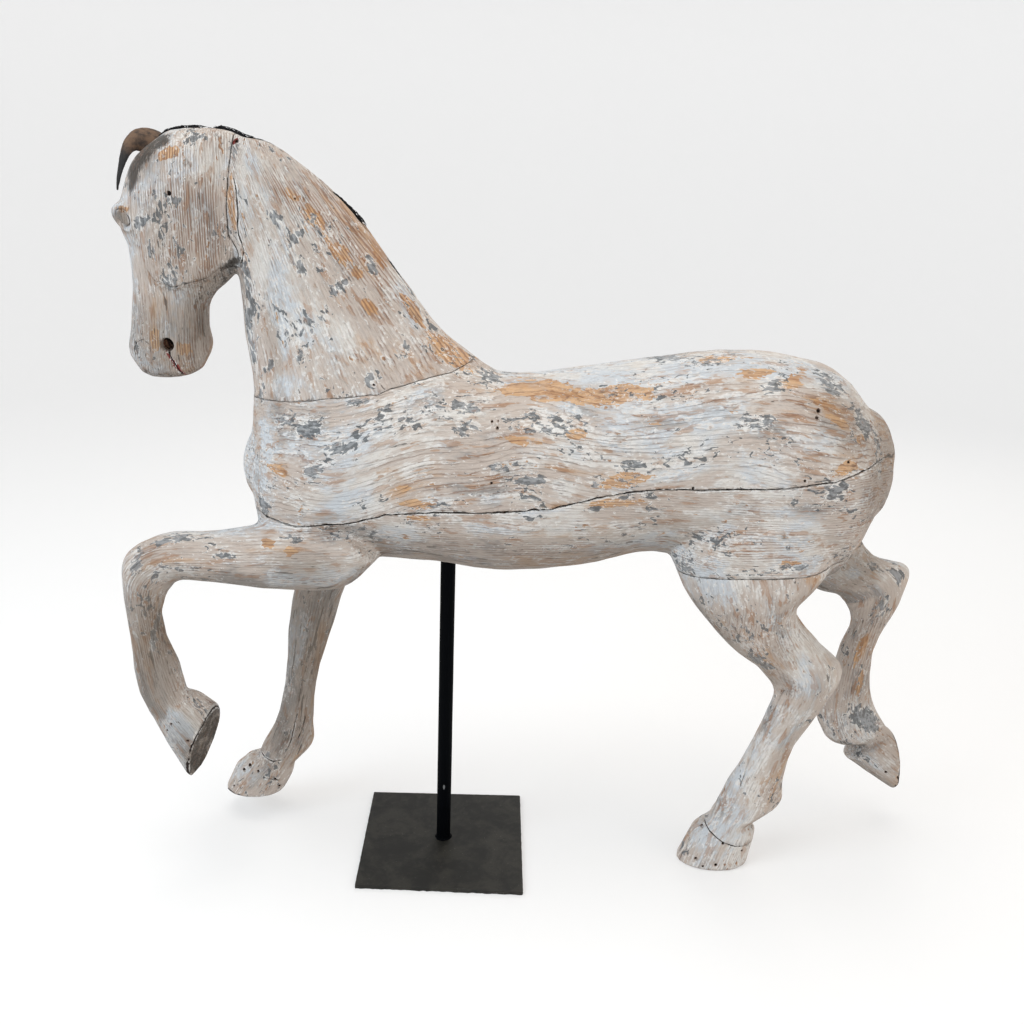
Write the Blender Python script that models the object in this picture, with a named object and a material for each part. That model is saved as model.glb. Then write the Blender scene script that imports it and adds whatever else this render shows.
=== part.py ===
"""Carved wooden carousel horse on a rod stand: the horse, its one leather ear, the rest of its mane, rod and plate.

Metres, +Z up. The origin is the middle of the plate's underside, on the rod's axis. The horse faces -X, and its
near side, the left, faces -Y.
"""

import math

import bmesh
import bpy
import numpy as np
from mathutils import Vector
from mathutils.bvhtree import BVHTree

# Driving dimensions
HORSE_LENGTH = 1.460        # overall, raised foreleg's knee to raised hind hoof's toe
PLATE_WIDTH = 0.305
PLATE_NEAR_EDGE = 0.156     # from the rod's axis to the near edge's front corner
PLATE_FAR_EDGE = 0.148
PLATE_OUT_OF_SQUARE = 0.009  # how much further out the near edge's rear corner is
PLATE_THICKNESS = 0.006
PLATE_CHAMFER = 0.0008
ROD_DIAMETER = 0.0267
WELD_REACH = 0.004          # how far the weld bead stands out round the rod's foot
SOCKET_DEPTH = 0.070        # how far the rod goes up into the belly
SOCKET_CLEARANCE = 0.0004
SEAT_GAP = 0.0003           # between two pieces that rest on each other
MANE_THICKNESS = 0.009
MANE_SEAT = 0.008           # depth of the mane strip below the crest
MANE_CLEARANCE = 0.0005
EAR_THICKNESS = 0.0030
EAR_ROOT = 0.014            # length of the ear inside the head
EAR_CLEARANCE = 0.0006
BIT_HOLE_DIAMETER = 0.016
BIT_HOLE_DEPTH = 0.024

# The figure is drawn in millimetres on a horse of this length, and scaled from there.
DRAWN_LENGTH = 1460.0
MM = HORSE_LENGTH / DRAWN_LENGTH

# Fineness of the solids
VOXEL = 4.0 * MM
RING_POINTS = 40
ROUND_SIDES = 28
HORSE_TRIANGLES = 5900

# Each row of a form is one section: the outline's two points (x, z) and (x, z), the place across y, the half
# width, and how much fuller the section is towards its second point.
TORSO = (
    (-330, 808, -335, 696, 0, 50, 0.0),     # breast
    (-292, 874, -320, 622, 0, 96, 0.0),
    (-225, 932, -262, 578, 0, 126, 0.05),   # shoulder
    (-130, 962, -150, 593, 0, 141, 0.08),   # withers
    (-20, 944, -40, 592, 0, 151, 0.10),     # girth
    (90, 919, 80, 578, 0, 155, 0.06),       # back
    (230, 935, 232, 590, 0, 153, 0.04),     # barrel
    (349, 955, 352, 619, 0, 151, 0.04),     # loin
    (460, 969, 470, 594, 0, 157, 0.02),     # croup
    (568, 965, 590, 574, 0, 160, 0.0),      # haunch
    (666, 930, 690, 604, 0, 138, 0.0),      # buttock
    (711, 880, 725, 684, 0, 104, 0.0),      # dock
)
NECK = (
    (-405, 1262, -400, 1120, 0, 50, 0.1),
    (-302, 1279, -352, 1082, 0, 56, 0.12),  # behind the jaw
    (-231, 1235, -344, 1030, 0, 60, 0.15),
    (-166, 1180, -341, 968, 0, 68, 0.18),
    (-98, 1094, -331, 896, 0, 84, 0.2),
    (-29, 1002, -334, 830, 0, 104, 0.18),
    (74, 922, -338, 750, 0, 118, 0.1),      # root of the neck
)
HEAD = (
    (-459, 1278, -336, 1280, 0, 46, 0.0),   # poll
    (-497, 1248, -340, 1246, 0, 61, -0.1),
    (-523, 1194, -343, 1192, 0, 69, -0.1),  # forehead
    (-534, 1147, -341, 1142, 0, 68, -0.08),  # eyes
    (-522, 1105, -338, 1096, 0, 63, -0.02),  # cheek
    (-521, 1060, -356, 1068, 0, 55, 0.0),
    (-525, 1014, -397, 1026, 0, 44, 0.0),   # nose
    (-530, 972, -403, 982, 0, 43, 0.0),
    (-535, 938, -400, 948, 0, 46, 0.0),     # nostrils
    (-521, 911, -412, 922, 0, 38, 0.0),     # lips
)
NEAR_FORELEG = (
    (-190, 668, -118, 608, -82, 62, 0.0),   # shoulder
    (-250, 677, -164, 566, -92, 60, 0.0),   # elbow
    (-325, 667, -262, 561, -100, 54, 0.0),
    (-411, 654, -404, 571, -104, 41, 0.0),  # forearm
    (-477, 648, -444, 570, -104, 38, 0.0),
    (-535, 611, -466, 550, -104, 39, 0.0),  # knee
    (-539, 547, -480, 515, -104, 35, 0.0),
    (-535, 465, -477, 466, -104, 29, 0.0),  # cannon
    (-532, 384, -456, 408, -102, 30, 0.0),
    (-522, 341, -451, 370, -100, 32, 0.0),  # fetlock
    (-510, 315, -450, 354, -100, 33, 0.0),  # pastern
)
FAR_FORELEG = (
    (-262, 660, -120, 620, 80, 62, 0.0),    # shoulder
    (-268, 584, -168, 543, 88, 52, 0.0),    # elbow
    (-297, 464, -203, 473, 94, 40, 0.0),
    (-307, 401, -220, 410, 96, 37, 0.0),    # knee
    (-311, 337, -244, 339, 96, 32, 0.0),
    (-323, 257, -261, 259, 96, 27, 0.0),    # cannon
    (-340, 195, -266, 193, 96, 29, 0.0),
    (-364, 150, -267, 150, 96, 31, 0.0),    # fetlock
    (-374, 126, -297, 113, 96, 33, 0.0),    # pastern
)
NEAR_HIND_LEG = (
    (380, 632, 660, 740, -84, 84, 0.0),     # thigh
    (424, 550, 648, 616, -86, 74, 0.0),     # stifle
    (496, 470, 604, 546, -84, 52, 0.0),     # gaskin
    (553, 427, 651, 481, -79, 42, 0.0),
    (588, 379, 706, 425, -73, 36, 0.0),     # hock
    (581, 322, 677, 343, -67, 32, 0.0),
    (555, 235, 635, 242, -56, 29, 0.0),     # cannon
    (529, 165, 634, 180, -46, 31, 0.0),
    (514, 117, 635, 130, -40, 33, 0.0),     # fetlock
    (504, 88, 590, 92, -37, 37, 0.0),       # pastern
)
FAR_HIND_LEG = (
    (560, 610, 740, 700, 78, 74, 0.0),      # thigh
    (640, 543, 762, 618, 86, 60, 0.0),
    (690, 514, 800, 578, 92, 46, 0.0),      # gaskin
    (746, 494, 869, 556, 95, 37, 0.0),      # hock
    (768, 462, 864, 513, 95, 34, 0.0),
    (759, 386, 825, 394, 95, 28, 0.0),      # cannon
    (744, 317, 828, 303, 95, 29, 0.0),
    (728, 252, 845, 261, 95, 32, 0.0),      # fetlock
    (752, 196, 872, 220, 95, 35, 0.0),      # pastern
)

# A hoof, from its coronet to its sole, in the same rows. The standing one is drawn a little past the ground and
# trimmed flat there.
NEAR_FORE_HOOF = (
    (-505, 304, -442, 358, -100, 38, 0.0),
    (-487, 270, -428, 350, -100, 46, 0.0),
    (-441, 193, -402, 330, -100, 52, 0.0),
)
FAR_FORE_HOOF = (
    (-396, 120, -304, 104, 97, 38, 0.0),
    (-420, 98, -308, 82, 97, 43, 0.0),
    (-444, 47, -326, 47, 97, 47, 0.0),
)
NEAR_HIND_HOOF = (
    (495, 84, 594, 78, -37, 41, 0.0),
    (476, 66, 594, 56, -36, 44, 0.0),
    (447, -8, 584, -8, -35, 49, 0.0),
)
FAR_HIND_HOOF = (
    (794, 154, 878, 216, 95, 39, 0.0),
    (842, 122, 891, 203, 95, 43, 0.0),
    (904, 82, 893, 194, 95, 47, 0.0),
)

# Folds where two forms meet are softened: middle (x, y, z), radius and number of passes.
FOLDS = (
    (-250, -80, 690, 100, 30),   # top of the near foreleg
    (-250, 80, 660, 100, 30),
    (-150, -90, 580, 90, 30),    # near elbow
    (-150, 90, 580, 90, 30),
    (410, -90, 600, 90, 18),     # near stifle
    (560, 90, 600, 110, 30),     # far stifle
    (640, -80, 610, 100, 30),    # behind the near thigh
    (690, 80, 630, 100, 30),
    (30, 0, 940, 140, 60),       # withers
    (-40, -100, 920, 130, 60),   # beside the withers
    (-40, 100, 920, 130, 60),
    (-250, -80, 840, 130, 50),   # root of the neck
    (-250, 80, 840, 130, 50),
    (-330, 0, 800, 140, 50),     # breast
    (720, 0, 800, 140, 40),      # buttocks
    (-340, 0, 1262, 70, 30),     # where the head meets the crest
    (540, 0, 580, 110, 30),      # between the thighs
    (-200, 0, 580, 110, 30),     # between the forelegs
)

# Swellings of the carving, on both sides: middle (x, y, z), reach (x, y, z) and height.
SWELLINGS = (
    (-528, 56, 1162, 28, 40, 22, 22),    # brow
    (-524, 56, 1144, 17, 26, 16, 8),     # eyeball
    (-488, 66, 1052, 34, 30, 60, -3),    # hollow in front of the cheek
    (-496, 40, 934, 30, 26, 24, 4),      # nostril's wing
    (-508, 42, 938, 12, 16, 11, -6),     # nostril
    (-440, 44, 968, 44, 26, 30, 2),      # corner of the mouth
    (-195, 120, 790, 120, 70, 150, 6),   # shoulder
    (600, 130, 800, 150, 70, 140, 5),    # haunch
)

# The flat cheek stands out from the head inside this outline, (x, z).
CHEEK = (
    (-483, 1120), (-486, 1071), (-472, 1053), (-445, 1046), (-412, 1054), (-384, 1065),
    (-358, 1085), (-349, 1110), (-349, 1185), (-388, 1228), (-450, 1211),
)
CHEEK_HEIGHT = 4.0
CHEEK_EDGE = 9.0

# Hollows beside the tendons, on both sides of a leg: two ends (x, z), the leg's middle y, reach and depth.
TENDONS = (
    (-501, 470, -487, 396, -104, 11, 4.0),
    (-270, 335, -285, 215, 96, 10, 3.5),
    (646, 335, 606, 235, -62, 11, 4.0),
    (606, 235, 590, 165, -52, 10, 3.5),
    (588, 478, 655, 428, -80, 15, 4.5),
    (770, 530, 812, 505, 94, 14, 4.0),
    (826, 480, 801, 395, 95, 10, 3.5),
    (801, 395, 794, 300, 95, 10, 3.5),
)

# Open joints between the glued blocks, on both sides, and the carved lines, as (x, z) places along them.
BODY_JOINT = (
    (-306, 690), (-247, 676), (-157, 686), (-96, 707), (-22, 716), (59, 718), (175, 730),
    (258, 753), (335, 766), (417, 768), (537, 776), (623, 790), (712, 818),
)
NECK_JOINT = (
    (-314, 875), (-253, 879), (-197, 887), (-114, 896), (-47, 918), (4, 929), (46, 950),
)
HEAD_JOINT = (
    (-344, 1276), (-349, 1220), (-353, 1162), (-350, 1120), (-336, 1086),
)
MOUTH = (
    (-450, 910), (-458, 926), (-463, 946),
)
EYELIDS = (
    (-523, 1155), (-512, 1160), (-504, 1153), (-500, 1138), (-506, 1127), (-517, 1130),
)
# Line, width and depth
SCORES = (
    (BODY_JOINT, 3.4, 5.0),
    (NECK_JOINT, 2.4, 3.0),
    (HEAD_JOINT, 3.6, 5.0),
    (MOUTH, 4.0, 7.0),
    (EYELIDS, 3.0, 3.0),
)
SCORE_STEP = 32.0
SCORE_LIFT = 4.0            # how far a scoring cutter stands out of the skin
SCORE_END = 0.35            # width and depth left at a line's ends

BIT_HOLE = (-461, 955)

# The mane's rest is a strip set along the crest: (x, z) places near the skin, and its height above the crest.
CREST = (
    (-464, 1284, 12.0),
    (-448, 1288, 9.0),
    (-432, 1290, 6.0),
    (-378, 1294, 5.0),
    (-323, 1287, 6.0),
    (-290, 1277, 5.0),
    (-252, 1258, 3.0),
    (-208, 1226, 2.4),
    (-164, 1184, 3.2),
    (-120, 1123, 2.2),
    (-74, 1054, 2.0),
)
CREST_STATIONS = 38
RAGGED = 0.35               # share by which the strip's height wavers
CREST_PROBE = 70.0          # how far outside the crest its skin is looked for

# The ear is a leather leaf, rolled at its root and drooping at its tip: place (x, y, z), width across the leaf,
# how far round it is rolled, and how far its back turns from the near side to the front, in degrees.
EAR = (
    (-468, 32, 1255, 66, 190, 0),
    (-483, 31, 1264, 66, 190, 0),
    (-497, 30, 1271, 64, 190, 6),
    (-511, 29, 1271, 56, 180, 18),
    (-523, 28, 1262, 44, 160, 40),
    (-529, 27, 1246, 34, 130, 56),
    (-535, 27, 1226, 26, 110, 62),
    (-540, 27, 1208, 16, 90, 66),
    (-545, 27, 1191, 4, 60, 70),
)
EAR_POINTS = 7


def through_rows(rows, steps):
    """Rows between the given ones, on a smooth curve through them, spaced by the sections' middles."""
    rows = np.array(rows, float)
    middle = np.stack([rows[:, 0] + rows[:, 2], rows[:, 1] + rows[:, 3]], 1) / 2
    return smooth_through(rows, np.linalg.norm(np.diff(middle, axis=0), axis=1), steps)


def smooth_through(rows, spans, steps):
    """Rows between the given ones: a cubic through each span, with slopes that meet."""
    knots = np.concatenate([[0], np.cumsum(spans)])
    slopes = np.gradient(rows, knots, axis=0)
    made = []
    for i, span in enumerate(spans):
        for t in np.arange(steps) / steps:
            made.append(
                (2 * t**3 - 3 * t**2 + 1) * rows[i] + (t**3 - 2 * t**2 + t) * span * slopes[i]
                + (3 * t**2 - 2 * t**3) * rows[i + 1] + (t**3 - t**2) * span * slopes[i + 1]
            )
    return np.array(made + [rows[-1]])


def even_line(places, count):
    """The given number of places, evenly spaced along the line through the given ones."""
    places = np.array(places, float)
    spans = np.linalg.norm(np.diff(places[:, :2], axis=0), axis=1)
    fine = smooth_through(places, spans, 8)
    run = np.concatenate([[0], np.cumsum(np.linalg.norm(np.diff(fine[:, :2], axis=0), axis=1))])
    at = np.linspace(0, run[-1], count)
    return np.stack([np.interp(at, run, fine[:, i]) for i in range(fine.shape[1])], 1)


def section(row, power):
    """The points of one section of a form."""
    front_x, front_z, back_x, back_z, across, half_width, fuller = row
    turn = np.arange(RING_POINTS) * 2 * math.pi / RING_POINTS
    along = np.sign(np.cos(turn)) * np.abs(np.cos(turn)) ** (2 / power)
    side = np.sign(np.sin(turn)) * np.abs(np.sin(turn)) ** (2 / power)
    x = (front_x + back_x) / 2 + along * (front_x - back_x) / 2
    z = (front_z + back_z) / 2 + along * (front_z - back_z) / 2
    y = across + half_width * side * (1 - fuller * along)
    return np.stack([x, y, z], 1) * MM


def add_sweep(mesh, rings):
    """Adds a closed solid whose skin runs through the rings."""
    loops = [[mesh.verts.new(point) for point in points] for points in rings]
    count = len(loops[0])
    for low, high in zip(loops, loops[1:]):
        for i in range(count):
            j = (i + 1) % count
            mesh.faces.new((low[i], low[j], high[j], high[i]))
    mesh.faces.new(loops[0][::-1])
    mesh.faces.new(loops[-1])


def add_form(mesh, rows, steps=5, power=2.0, domes=(0.5, 0.5)):
    """Adds a closed form through the rows. A dome rounds off an end by that share of the end's half height."""
    rings = [section(row, power) for row in (through_rows(rows, steps) if steps > 1 else rows)]
    for dome, end in ((domes[0], 0), (domes[1], -1)):
        if not dome:
            continue
        last = rings[end]
        middle = last.mean(axis=0)
        before = rings[1 if end == 0 else -2].mean(axis=0)
        out = (middle - before) / np.linalg.norm(middle - before)
        reach = dome * np.linalg.norm(last[0] - last[RING_POINTS // 2]) / 2
        caps = [
            middle + (last - middle) * math.cos(angle) + out * reach * math.sin(angle)
            for angle in (0.5, 0.95, 1.3)
        ]
        rings = caps[::-1] + rings if end == 0 else rings + caps
    add_sweep(mesh, rings)


def clear_scene():
    for obj in list(bpy.data.objects):
        bpy.data.objects.remove(obj)


def material(name, colour, roughness, metallic=0.0):
    made = bpy.data.materials.new(name)
    made.use_nodes = True
    shader = made.node_tree.nodes["Principled BSDF"]
    shader.inputs["Base Color"].default_value = (*colour, 1.0)
    shader.inputs["Roughness"].default_value = roughness
    shader.inputs["Metallic"].default_value = metallic
    return made


def object_from(name, mesh, finish=None):
    """A new object from a bmesh, its faces pointing out."""
    bmesh.ops.recalc_face_normals(mesh, faces=mesh.faces)
    data = bpy.data.meshes.new(name)
    mesh.to_mesh(data)
    mesh.free()
    obj = bpy.data.objects.new(name, data)
    bpy.context.scene.collection.objects.link(obj)
    if finish:
        data.materials.append(finish)
    return obj


def swept_object(name, rings, finish=None):
    mesh = bmesh.new()
    add_sweep(mesh, rings)
    return object_from(name, mesh, finish)


def apply_modifiers(obj):
    bpy.context.view_layer.update()
    graph = bpy.context.evaluated_depsgraph_get()
    made = bpy.data.meshes.new_from_object(obj.evaluated_get(graph))
    obj.modifiers.clear()
    obj.data = made


def cut(obj, cutter):
    """Takes the cutter's solid out of the object, and the cutter out of the scene."""
    boolean = obj.modifiers.new("cut", "BOOLEAN")
    boolean.operation = "DIFFERENCE"
    boolean.solver = "EXACT"
    boolean.object = cutter
    apply_modifiers(obj)
    bpy.data.objects.remove(cutter)


def read_vertices(data, name):
    """A vertex value of the mesh, such as co or normal, as rows of three."""
    values = np.empty(len(data.vertices) * 3, np.float32)
    data.vertices.foreach_get(name, values)
    return values.reshape(-1, 3).astype(float)


def write_points(data, points):
    data.vertices.foreach_set("co", points.astype(np.float32).ravel())
    data.update()


def edges_of(data):
    edges = np.empty(len(data.edges) * 2, np.int32)
    data.edges.foreach_get("vertices", edges)
    return edges.reshape(-1, 2)


def relaxed(points, edges, share, passes):
    """Points moved towards the middle of their neighbours, each by its own share at every pass."""
    near = edges[(share > 0)[edges].any(axis=1)]
    used, near = np.unique(near, return_inverse=True)
    near = near.reshape(-1, 2)
    moved, share = points[used], share[used, None]
    count = np.bincount(near.ravel(), minlength=len(moved))[:, None]
    for _ in range(passes):
        total = np.stack([
            np.bincount(near[:, 0], moved[near[:, 1], axis], len(moved))
            + np.bincount(near[:, 1], moved[near[:, 0], axis], len(moved))
            for axis in range(3)
        ], 1)
        moved = moved + share * (total / count - moved)
    points = points.copy()
    points[used] = moved
    return points


def smooth_step(value):
    """0 below 0 and 1 above 1, smooth at both ends."""
    value = np.clip(value, 0, 1)
    return value * value * (3 - 2 * value)


def depth_inside(x, z, corners):
    """How far each place lies inside the outline, negative outside it."""
    corners = np.array(corners, float)
    nearest = np.full(len(x), np.inf)
    inside = np.zeros(len(x), bool)
    for (ax, az), (bx, bz) in zip(corners, np.roll(corners, -1, axis=0)):
        along = np.clip(((x - ax) * (bx - ax) + (z - az) * (bz - az)) / ((bx - ax) ** 2 + (bz - az) ** 2), 0, 1)
        nearest = np.minimum(nearest, np.hypot(x - ax - along * (bx - ax), z - az - along * (bz - az)))
        crosses = (az > z) != (bz > z)
        with np.errstate(divide="ignore", invalid="ignore"):
            inside ^= crosses & (x < (bx - ax) * (z - az) / (bz - az) + ax)
    return np.where(inside, nearest, -nearest)


def joined_forms():
    """The horse's forms as one even skin, softened where they meet."""
    mesh = bmesh.new()
    add_form(mesh, TORSO, power=2.15, domes=(0.4, 0.42))
    add_form(mesh, NECK, power=2.1)
    add_form(mesh, HEAD, power=2.5, domes=(0.25, 0.4))
    for leg in (NEAR_FORELEG, FAR_FORELEG, NEAR_HIND_LEG, FAR_HIND_LEG):
        add_form(mesh, leg, power=2.2, domes=(0.5, 0.5))
    for hoof in (NEAR_FORE_HOOF, FAR_FORE_HOOF, NEAR_HIND_HOOF, FAR_HIND_HOOF):
        add_form(mesh, hoof, steps=1, power=2.1, domes=(0, 0))
    horse = object_from("horse", mesh)
    remesh = horse.modifiers.new("skin", "REMESH")
    remesh.mode = "VOXEL"
    remesh.voxel_size = VOXEL
    apply_modifiers(horse)
    points, edges = read_vertices(horse.data, "co"), edges_of(horse.data)
    points = relaxed(points, edges, np.full(len(points), 0.5), 3)
    for x, y, z, radius, passes in FOLDS:
        away = np.linalg.norm(points / MM - (x, y, z), axis=1)
        points = relaxed(points, edges, 0.5 * smooth_step(1 - away / radius), passes)
    write_points(horse.data, points)
    return horse


def carve(horse):
    """Swells the brow, cheek and muscles out of the skin, and hollows it beside the tendons."""
    points, normals = read_vertices(horse.data, "co") / MM, read_vertices(horse.data, "normal")
    raised = np.zeros(len(points))
    for x, y, z, reach_x, reach_y, reach_z, height in SWELLINGS:
        for side in (-1, 1):
            away = np.linalg.norm((points - (x, side * y, z)) / (reach_x, reach_y, reach_z), axis=1)
            raised += height * smooth_step(1 - away)
    faces_side = smooth_step(2 * np.abs(normals[:, 1]) - 0.5)
    depth = depth_inside(points[:, 0], points[:, 2], CHEEK)
    raised += CHEEK_HEIGHT * smooth_step(0.5 + depth / CHEEK_EDGE) * faces_side
    for ax, az, bx, bz, middle_y, reach, hollow in TENDONS:
        run = np.array((bx - ax, bz - az), float)
        off = points[:, [0, 2]] - (ax, az)
        along = np.clip(off @ run / (run @ run), 0, 1)
        away = np.linalg.norm(off - along[:, None] * run, axis=1)
        here = np.abs(points[:, 1] - middle_y) < 3 * reach + 30
        raised -= hollow * smooth_step(1 - away / reach) * faces_side * here
    points += normals * raised[:, None]
    points = relaxed(points, edges_of(horse.data), np.full(len(points), 0.5), 1)
    write_points(horse.data, points * MM)


def thin_out(obj, triangles):
    """Leaves the object about this many triangles, most of them where its form curves."""
    count = sum(len(face.vertices) - 2 for face in obj.data.polygons)
    decimate = obj.modifiers.new("fewer_faces", "DECIMATE")
    decimate.ratio = triangles / count
    apply_modifiers(obj)


def skin_of(obj):
    bpy.context.view_layer.update()
    return BVHTree.FromObject(obj, bpy.context.evaluated_depsgraph_get())


def trim_cutter():
    """A block below the ground, wider than the horse."""
    mesh = bmesh.new()
    bmesh.ops.create_cube(mesh, size=2 * HORSE_LENGTH)
    bmesh.ops.translate(mesh, verts=mesh.verts, vec=(0, 0, -HORSE_LENGTH))
    return object_from("ground_trim", mesh)


def score_cutter(skin, places, side, width, depth):
    """A wedge along a line on one side of the horse, its edge pointing into the wood."""
    length = np.linalg.norm(np.diff(np.array(places, float), axis=0), axis=1).sum()
    line = even_line(places, max(4, round(length / SCORE_STEP)))
    feet, outs = [], []
    for x, z in line * MM:
        hit, out, _, _ = skin.ray_cast(Vector((x, side * HORSE_LENGTH, z)), Vector((0, -side, 0)))
        if hit:
            feet.append(hit)
            outs.append(out)
    rings = []
    for i, foot in enumerate(feet):
        out = sum(outs[max(i - 1, 0):i + 2], Vector()).normalized()
        run = (feet[min(i + 1, len(feet) - 1)] - feet[max(i - 1, 0)]).normalized()
        sideways = run.cross(out).normalized()
        share = SCORE_END if i in (0, len(feet) - 1) else 1.0
        deep, lift = depth * share * MM, SCORE_LIFT * MM
        half = width / 2 * MM * (1 + lift / deep) * share
        rings.append((foot - out * deep, foot + out * lift + sideways * half, foot + out * lift - sideways * half))
    return swept_object("score", rings)


def circle(radius, x, y, z, axis="Z"):
    """Points round a circle about an axis along Z or Y."""
    turn = np.arange(ROUND_SIDES) * 2 * math.pi / ROUND_SIDES
    across, up = radius * np.cos(turn), radius * np.sin(turn)
    if axis == "Z":
        return np.stack([x + across, y + up, np.full(ROUND_SIDES, z)], 1)
    return np.stack([x + across, np.full(ROUND_SIDES, y), z + up], 1)


def bit_hole_cutter(skin, side):
    """A round blind hole at the corner of the mouth."""
    x, z = BIT_HOLE[0] * MM, BIT_HOLE[1] * MM
    hit = skin.ray_cast(Vector((x, side * HORSE_LENGTH, z)), Vector((0, -side, 0)))[0]
    ends = (hit.y - side * BIT_HOLE_DEPTH, hit.y + side * BIT_HOLE_DEPTH)
    return swept_object("bit_hole", [circle(BIT_HOLE_DIAMETER / 2, x, y, z, "Y") for y in ends])


def belly_height(skin):
    """The height of the belly's skin over the rod."""
    return skin.ray_cast(Vector((0, 0, PLATE_THICKNESS)), Vector((0, 0, 1)))[0].z


def crest_stations(skin):
    """Places on the crest's skin with the outward direction and the mane's height at each."""
    stations = []
    line = even_line(CREST, CREST_STATIONS)
    for i, (x, z, height) in enumerate(line):
        ahead, behind = line[min(i + 1, len(line) - 1)], line[max(i - 1, 0)]
        run = Vector((ahead[0] - behind[0], 0, ahead[1] - behind[1])).normalized()
        out = Vector((-run.z, 0, run.x))
        start = Vector((x * MM, 0, z * MM)) + out * CREST_PROBE * MM
        hit = skin.ray_cast(start, -out)[0]
        waver = math.sin(2.1 * i) * math.sin(0.77 * i + 0.6)
        stations.append((hit, out, height * MM * (1 + RAGGED * waver)))
    return stations


def crest_rings(stations, half_thickness, deeper, top=None):
    """Four-cornered rings along the crest, from below its skin to the mane's height or to a fixed top."""
    rings = []
    for foot, out, height in stations:
        low, high = foot - out * (MANE_SEAT + deeper), foot + out * (top if top else height)
        across = Vector((0, half_thickness, 0))
        rings.append((low - across, low + across, high + across, high - across))
    return rings


def lengthened(rings, extra):
    """The rings with the two end ones moved outwards."""
    first, second, last, before = rings[0], rings[1], rings[-1], rings[-2]
    out_front = (first[0] - second[0]).normalized() * extra
    out_back = (last[0] - before[0]).normalized() * extra
    return [[p + out_front for p in first], *rings[1:-1], [p + out_back for p in last]]


def ear_rings(extra_thickness=0.0, extra_root=0.0):
    """Rolled sections along the ear, from its root inside the head to its tip."""
    rows = np.array(EAR, float)
    rows[:, :4] *= MM
    fine = smooth_through(rows, np.linalg.norm(np.diff(rows[:, :3], axis=0), axis=1), 2)
    root = fine[0].copy()
    back = fine[0, :3] - fine[1, :3]
    root[:3] += back / np.linalg.norm(back) * (EAR_ROOT + extra_root)
    fine = np.vstack([root, fine])
    half = (EAR_THICKNESS + extra_thickness) / 2
    rings = []
    for i, (x, y, z, width, roll, turn) in enumerate(fine):
        run = Vector(fine[min(i + 1, len(fine) - 1), :3] - fine[max(i - 1, 0), :3]).normalized()
        upright = run.cross(Vector((0, -1, 0))).normalized()
        near = upright.cross(run).normalized()
        turn, roll = math.radians(turn), math.radians(roll)
        back = near * math.cos(turn) + upright * math.sin(turn)
        across = run.cross(back).normalized()
        radius = max(width / roll, half * 1.2)
        angles = np.linspace(-roll / 2, roll / 2, EAR_POINTS)
        middle = Vector((x, y, z)) - back * radius * 0.5
        outer = [middle + (back * math.cos(a) + across * math.sin(a)) * (radius + half) for a in angles]
        inner = [middle + (back * math.cos(a) + across * math.sin(a)) * (radius - half) for a in angles[::-1]]
        rings.append(outer + inner)
    return rings


def build_horse(wood):
    """The carved horse. Returns it with the belly's height over the rod and the crest's stations."""
    horse = joined_forms()
    carve(horse)
    thin_out(horse, HORSE_TRIANGLES)
    skin = skin_of(horse)
    belly, crest = belly_height(skin), crest_stations(skin)
    cutters = [trim_cutter()]
    for side in (-1, 1):
        cutters += [score_cutter(skin, places, side, width, depth) for places, width, depth in SCORES]
        cutters.append(bit_hole_cutter(skin, side))
    socket_radius = ROD_DIAMETER / 2 + SOCKET_CLEARANCE
    socket_ends = (PLATE_THICKNESS, belly + SOCKET_DEPTH + SEAT_GAP)
    cutters.append(swept_object("rod_socket", [circle(socket_radius, 0, 0, z) for z in socket_ends]))
    groove = crest_rings(crest, MANE_THICKNESS / 2 + MANE_CLEARANCE, MANE_CLEARANCE, CREST_PROBE * MM)
    cutters.append(swept_object("mane_groove", lengthened(groove, MANE_CLEARANCE)))
    cutters.append(swept_object("ear_slot", ear_rings(2 * EAR_CLEARANCE, EAR_CLEARANCE)))
    for cutter in cutters:
        cut(horse, cutter)
    horse.data.materials.clear()
    horse.data.materials.append(wood)
    return horse, belly, crest


def build_rod(belly, steel):
    """The rod with the weld bead round its foot, from the plate up into the belly's socket."""
    radius, foot = ROD_DIAMETER / 2, PLATE_THICKNESS + SEAT_GAP
    profile = [(radius + WELD_REACH * (1 - math.sin(a)), foot + WELD_REACH * (1 - math.cos(a)))
               for a in np.linspace(0, math.pi / 2, 5)]
    profile.append((radius, belly + SOCKET_DEPTH))
    rod = swept_object("stand_rod", [circle(r, 0, 0, z) for r, z in profile], steel)
    rod.data.shade_smooth()
    rod.data.set_sharp_from_angle(angle=math.radians(30))
    return rod


def build_plate(steel):
    """The plate, cut a little out of square."""
    half = PLATE_WIDTH / 2
    corners = (
        (-half, -PLATE_NEAR_EDGE), (half, -PLATE_NEAR_EDGE - PLATE_OUT_OF_SQUARE),
        (half, PLATE_FAR_EDGE), (-half, PLATE_FAR_EDGE),
    )
    mesh = bmesh.new()
    add_sweep(mesh, [[(x, y, z) for x, y in corners] for z in (0, PLATE_THICKNESS)])
    bmesh.ops.bevel(mesh, geom=mesh.edges[:], offset=PLATE_CHAMFER, segments=1, affect="EDGES")
    return object_from("base_plate", mesh, steel)


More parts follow.
